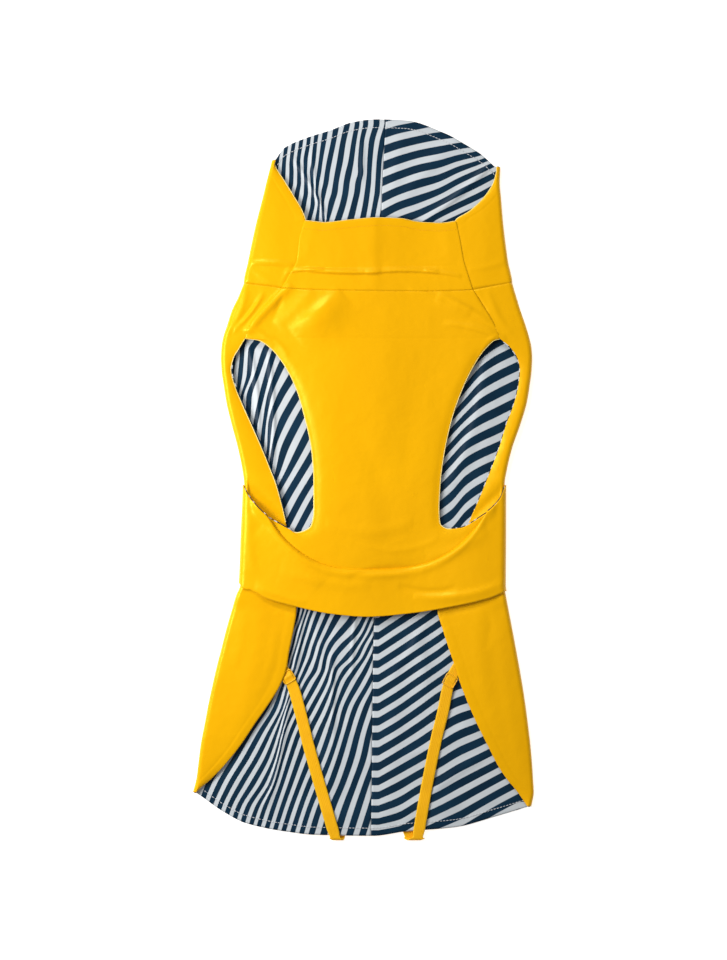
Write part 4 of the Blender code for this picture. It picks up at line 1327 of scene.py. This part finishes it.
def make_slider(name, strap):
    """A small frame with rounded corners and a bar across its middle."""
    x, y = strap["slider"]
    turn = math.radians(strap["slider_angle"])
    wide, long = SLIDER_WIDE / 2, SLIDER_LONG / 2
    outline = []
    for cx, cy, start in ((wide, long, 0), (-wide, long, 90), (-wide, -long, 180), (wide, -long, 270)):
        for step in np.linspace(0, 90, 7):
            angle = math.radians(start + step)
            along_x = cx - math.copysign(SLIDER_CORNER, cx) + SLIDER_CORNER * math.cos(angle)
            along_y = cy - math.copysign(SLIDER_CORNER, cy) + SLIDER_CORNER * math.sin(angle)
            outline.append((along_x, along_y))
    outline.append(outline[0])
    height = 2 * LAYER + SLIDER_ABOVE
    bar = [(-wide, 0.0), (0.0, 0.0), (wide, 0.0)]
    lines = []
    for line, drop in ((outline, 0.0), (bar, SLIDER_BAR_DROP)):
        placed = []
        for u, v in line:
            at_x = x + u * math.cos(turn) - v * math.sin(turn)
            placed.append((at_x, y + u * math.sin(turn) + v * math.cos(turn), height - drop))
        lines.append(along(placed, 0.4))
    return tube(name, lines, SLIDER_ROD, slider_plastic, 10)


def make_straps():
    for side, strap in STRAPS.items():
        tape = make_strap("leg_strap_" + side + "_tape", strap)
        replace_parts(tape, "leg_strap_" + side)
        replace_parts(make_slider("strap_slider_" + side + "_frame", strap), "strap_slider_" + side)


make_shell()
make_linings()
make_front()
make_edges()
make_stitches()
make_straps()


# ---------------------------------------------------------------- stage, light and camera, in metres

FLOOR_HALF, FLOOR_BELOW, FLOOR_GLOW = 3.0, 0.0002, 0.75
WORLD_LIGHT = 0.3
CAMERA_HEIGHT, VIEW_TALL, FILM_TALL = 2.4, 0.768, 36.0
PURE_WHITE = (1.0, 1.0, 1.0, 1.0)


def make_stage():
    mesh = bpy.data.meshes.new("floor")
    corners = [(x * FLOOR_HALF, y * FLOOR_HALF, 0) for x, y in ((-1, -1), (1, -1), (1, 1), (-1, 1))]
    mesh.from_pydata(corners, [], [(0, 1, 2, 3)])
    floor = bpy.data.objects.new("floor", mesh)
    floor.location.z = -FLOOR_BELOW
    bpy.context.scene.collection.objects.link(floor)
    surface = Nodes("pale_floor", 0.9)
    surface.colour(surface.blend(surface.noise(2.0), FLOOR_GREY, FLOOR_LIGHT))
    surface.shader.inputs["Emission Color"].default_value = PURE_WHITE
    surface.shader.inputs["Emission Strength"].default_value = FLOOR_GLOW
    mesh.materials.append(surface.material)


def area_light(name, place, target, size, power):
    data = bpy.data.lights.new(name, "AREA")
    data.shape = "SQUARE"
    data.size = size
    data.energy = power
    lamp = bpy.data.objects.new(name, data)
    bpy.context.scene.collection.objects.link(lamp)
    lamp.location = place
    direction = np.array(target) - np.array(place)
    lamp.rotation_euler = Vector(direction).to_track_quat("-Z", "Y").to_euler()


def make_lights():
    world = bpy.data.worlds.new("studio")
    bpy.context.scene.world = world
    world.use_nodes = True
    background = world.node_tree.nodes["Background"]
    background.inputs["Color"].default_value = PURE_WHITE
    background.inputs["Strength"].default_value = WORLD_LIGHT
    area_light("key", (-0.5, 0.08, 0.5), (-0.02, -0.02, 0), 0.32, 5.2)
    area_light("strip", (-0.6, 1.5, 1.3), (-0.02, 0.02, 0), 0.5, 16.0)
    bpy.context.scene.view_settings.view_transform = "Standard"


def make_camera():
    data = bpy.data.cameras.new("camera")
    data.sensor_fit = "VERTICAL"
    data.sensor_height = FILM_TALL
    data.sensor_width = 27.26
    data.lens = FILM_TALL * CAMERA_HEIGHT / VIEW_TALL
    data.clip_end = 20.0
    camera = bpy.data.objects.new("camera", data)
    camera.location = (0.0, 0.0, CAMERA_HEIGHT)
    bpy.context.scene.collection.objects.link(camera)
    bpy.context.scene.camera = camera


make_stage()
make_lights()
make_camera()
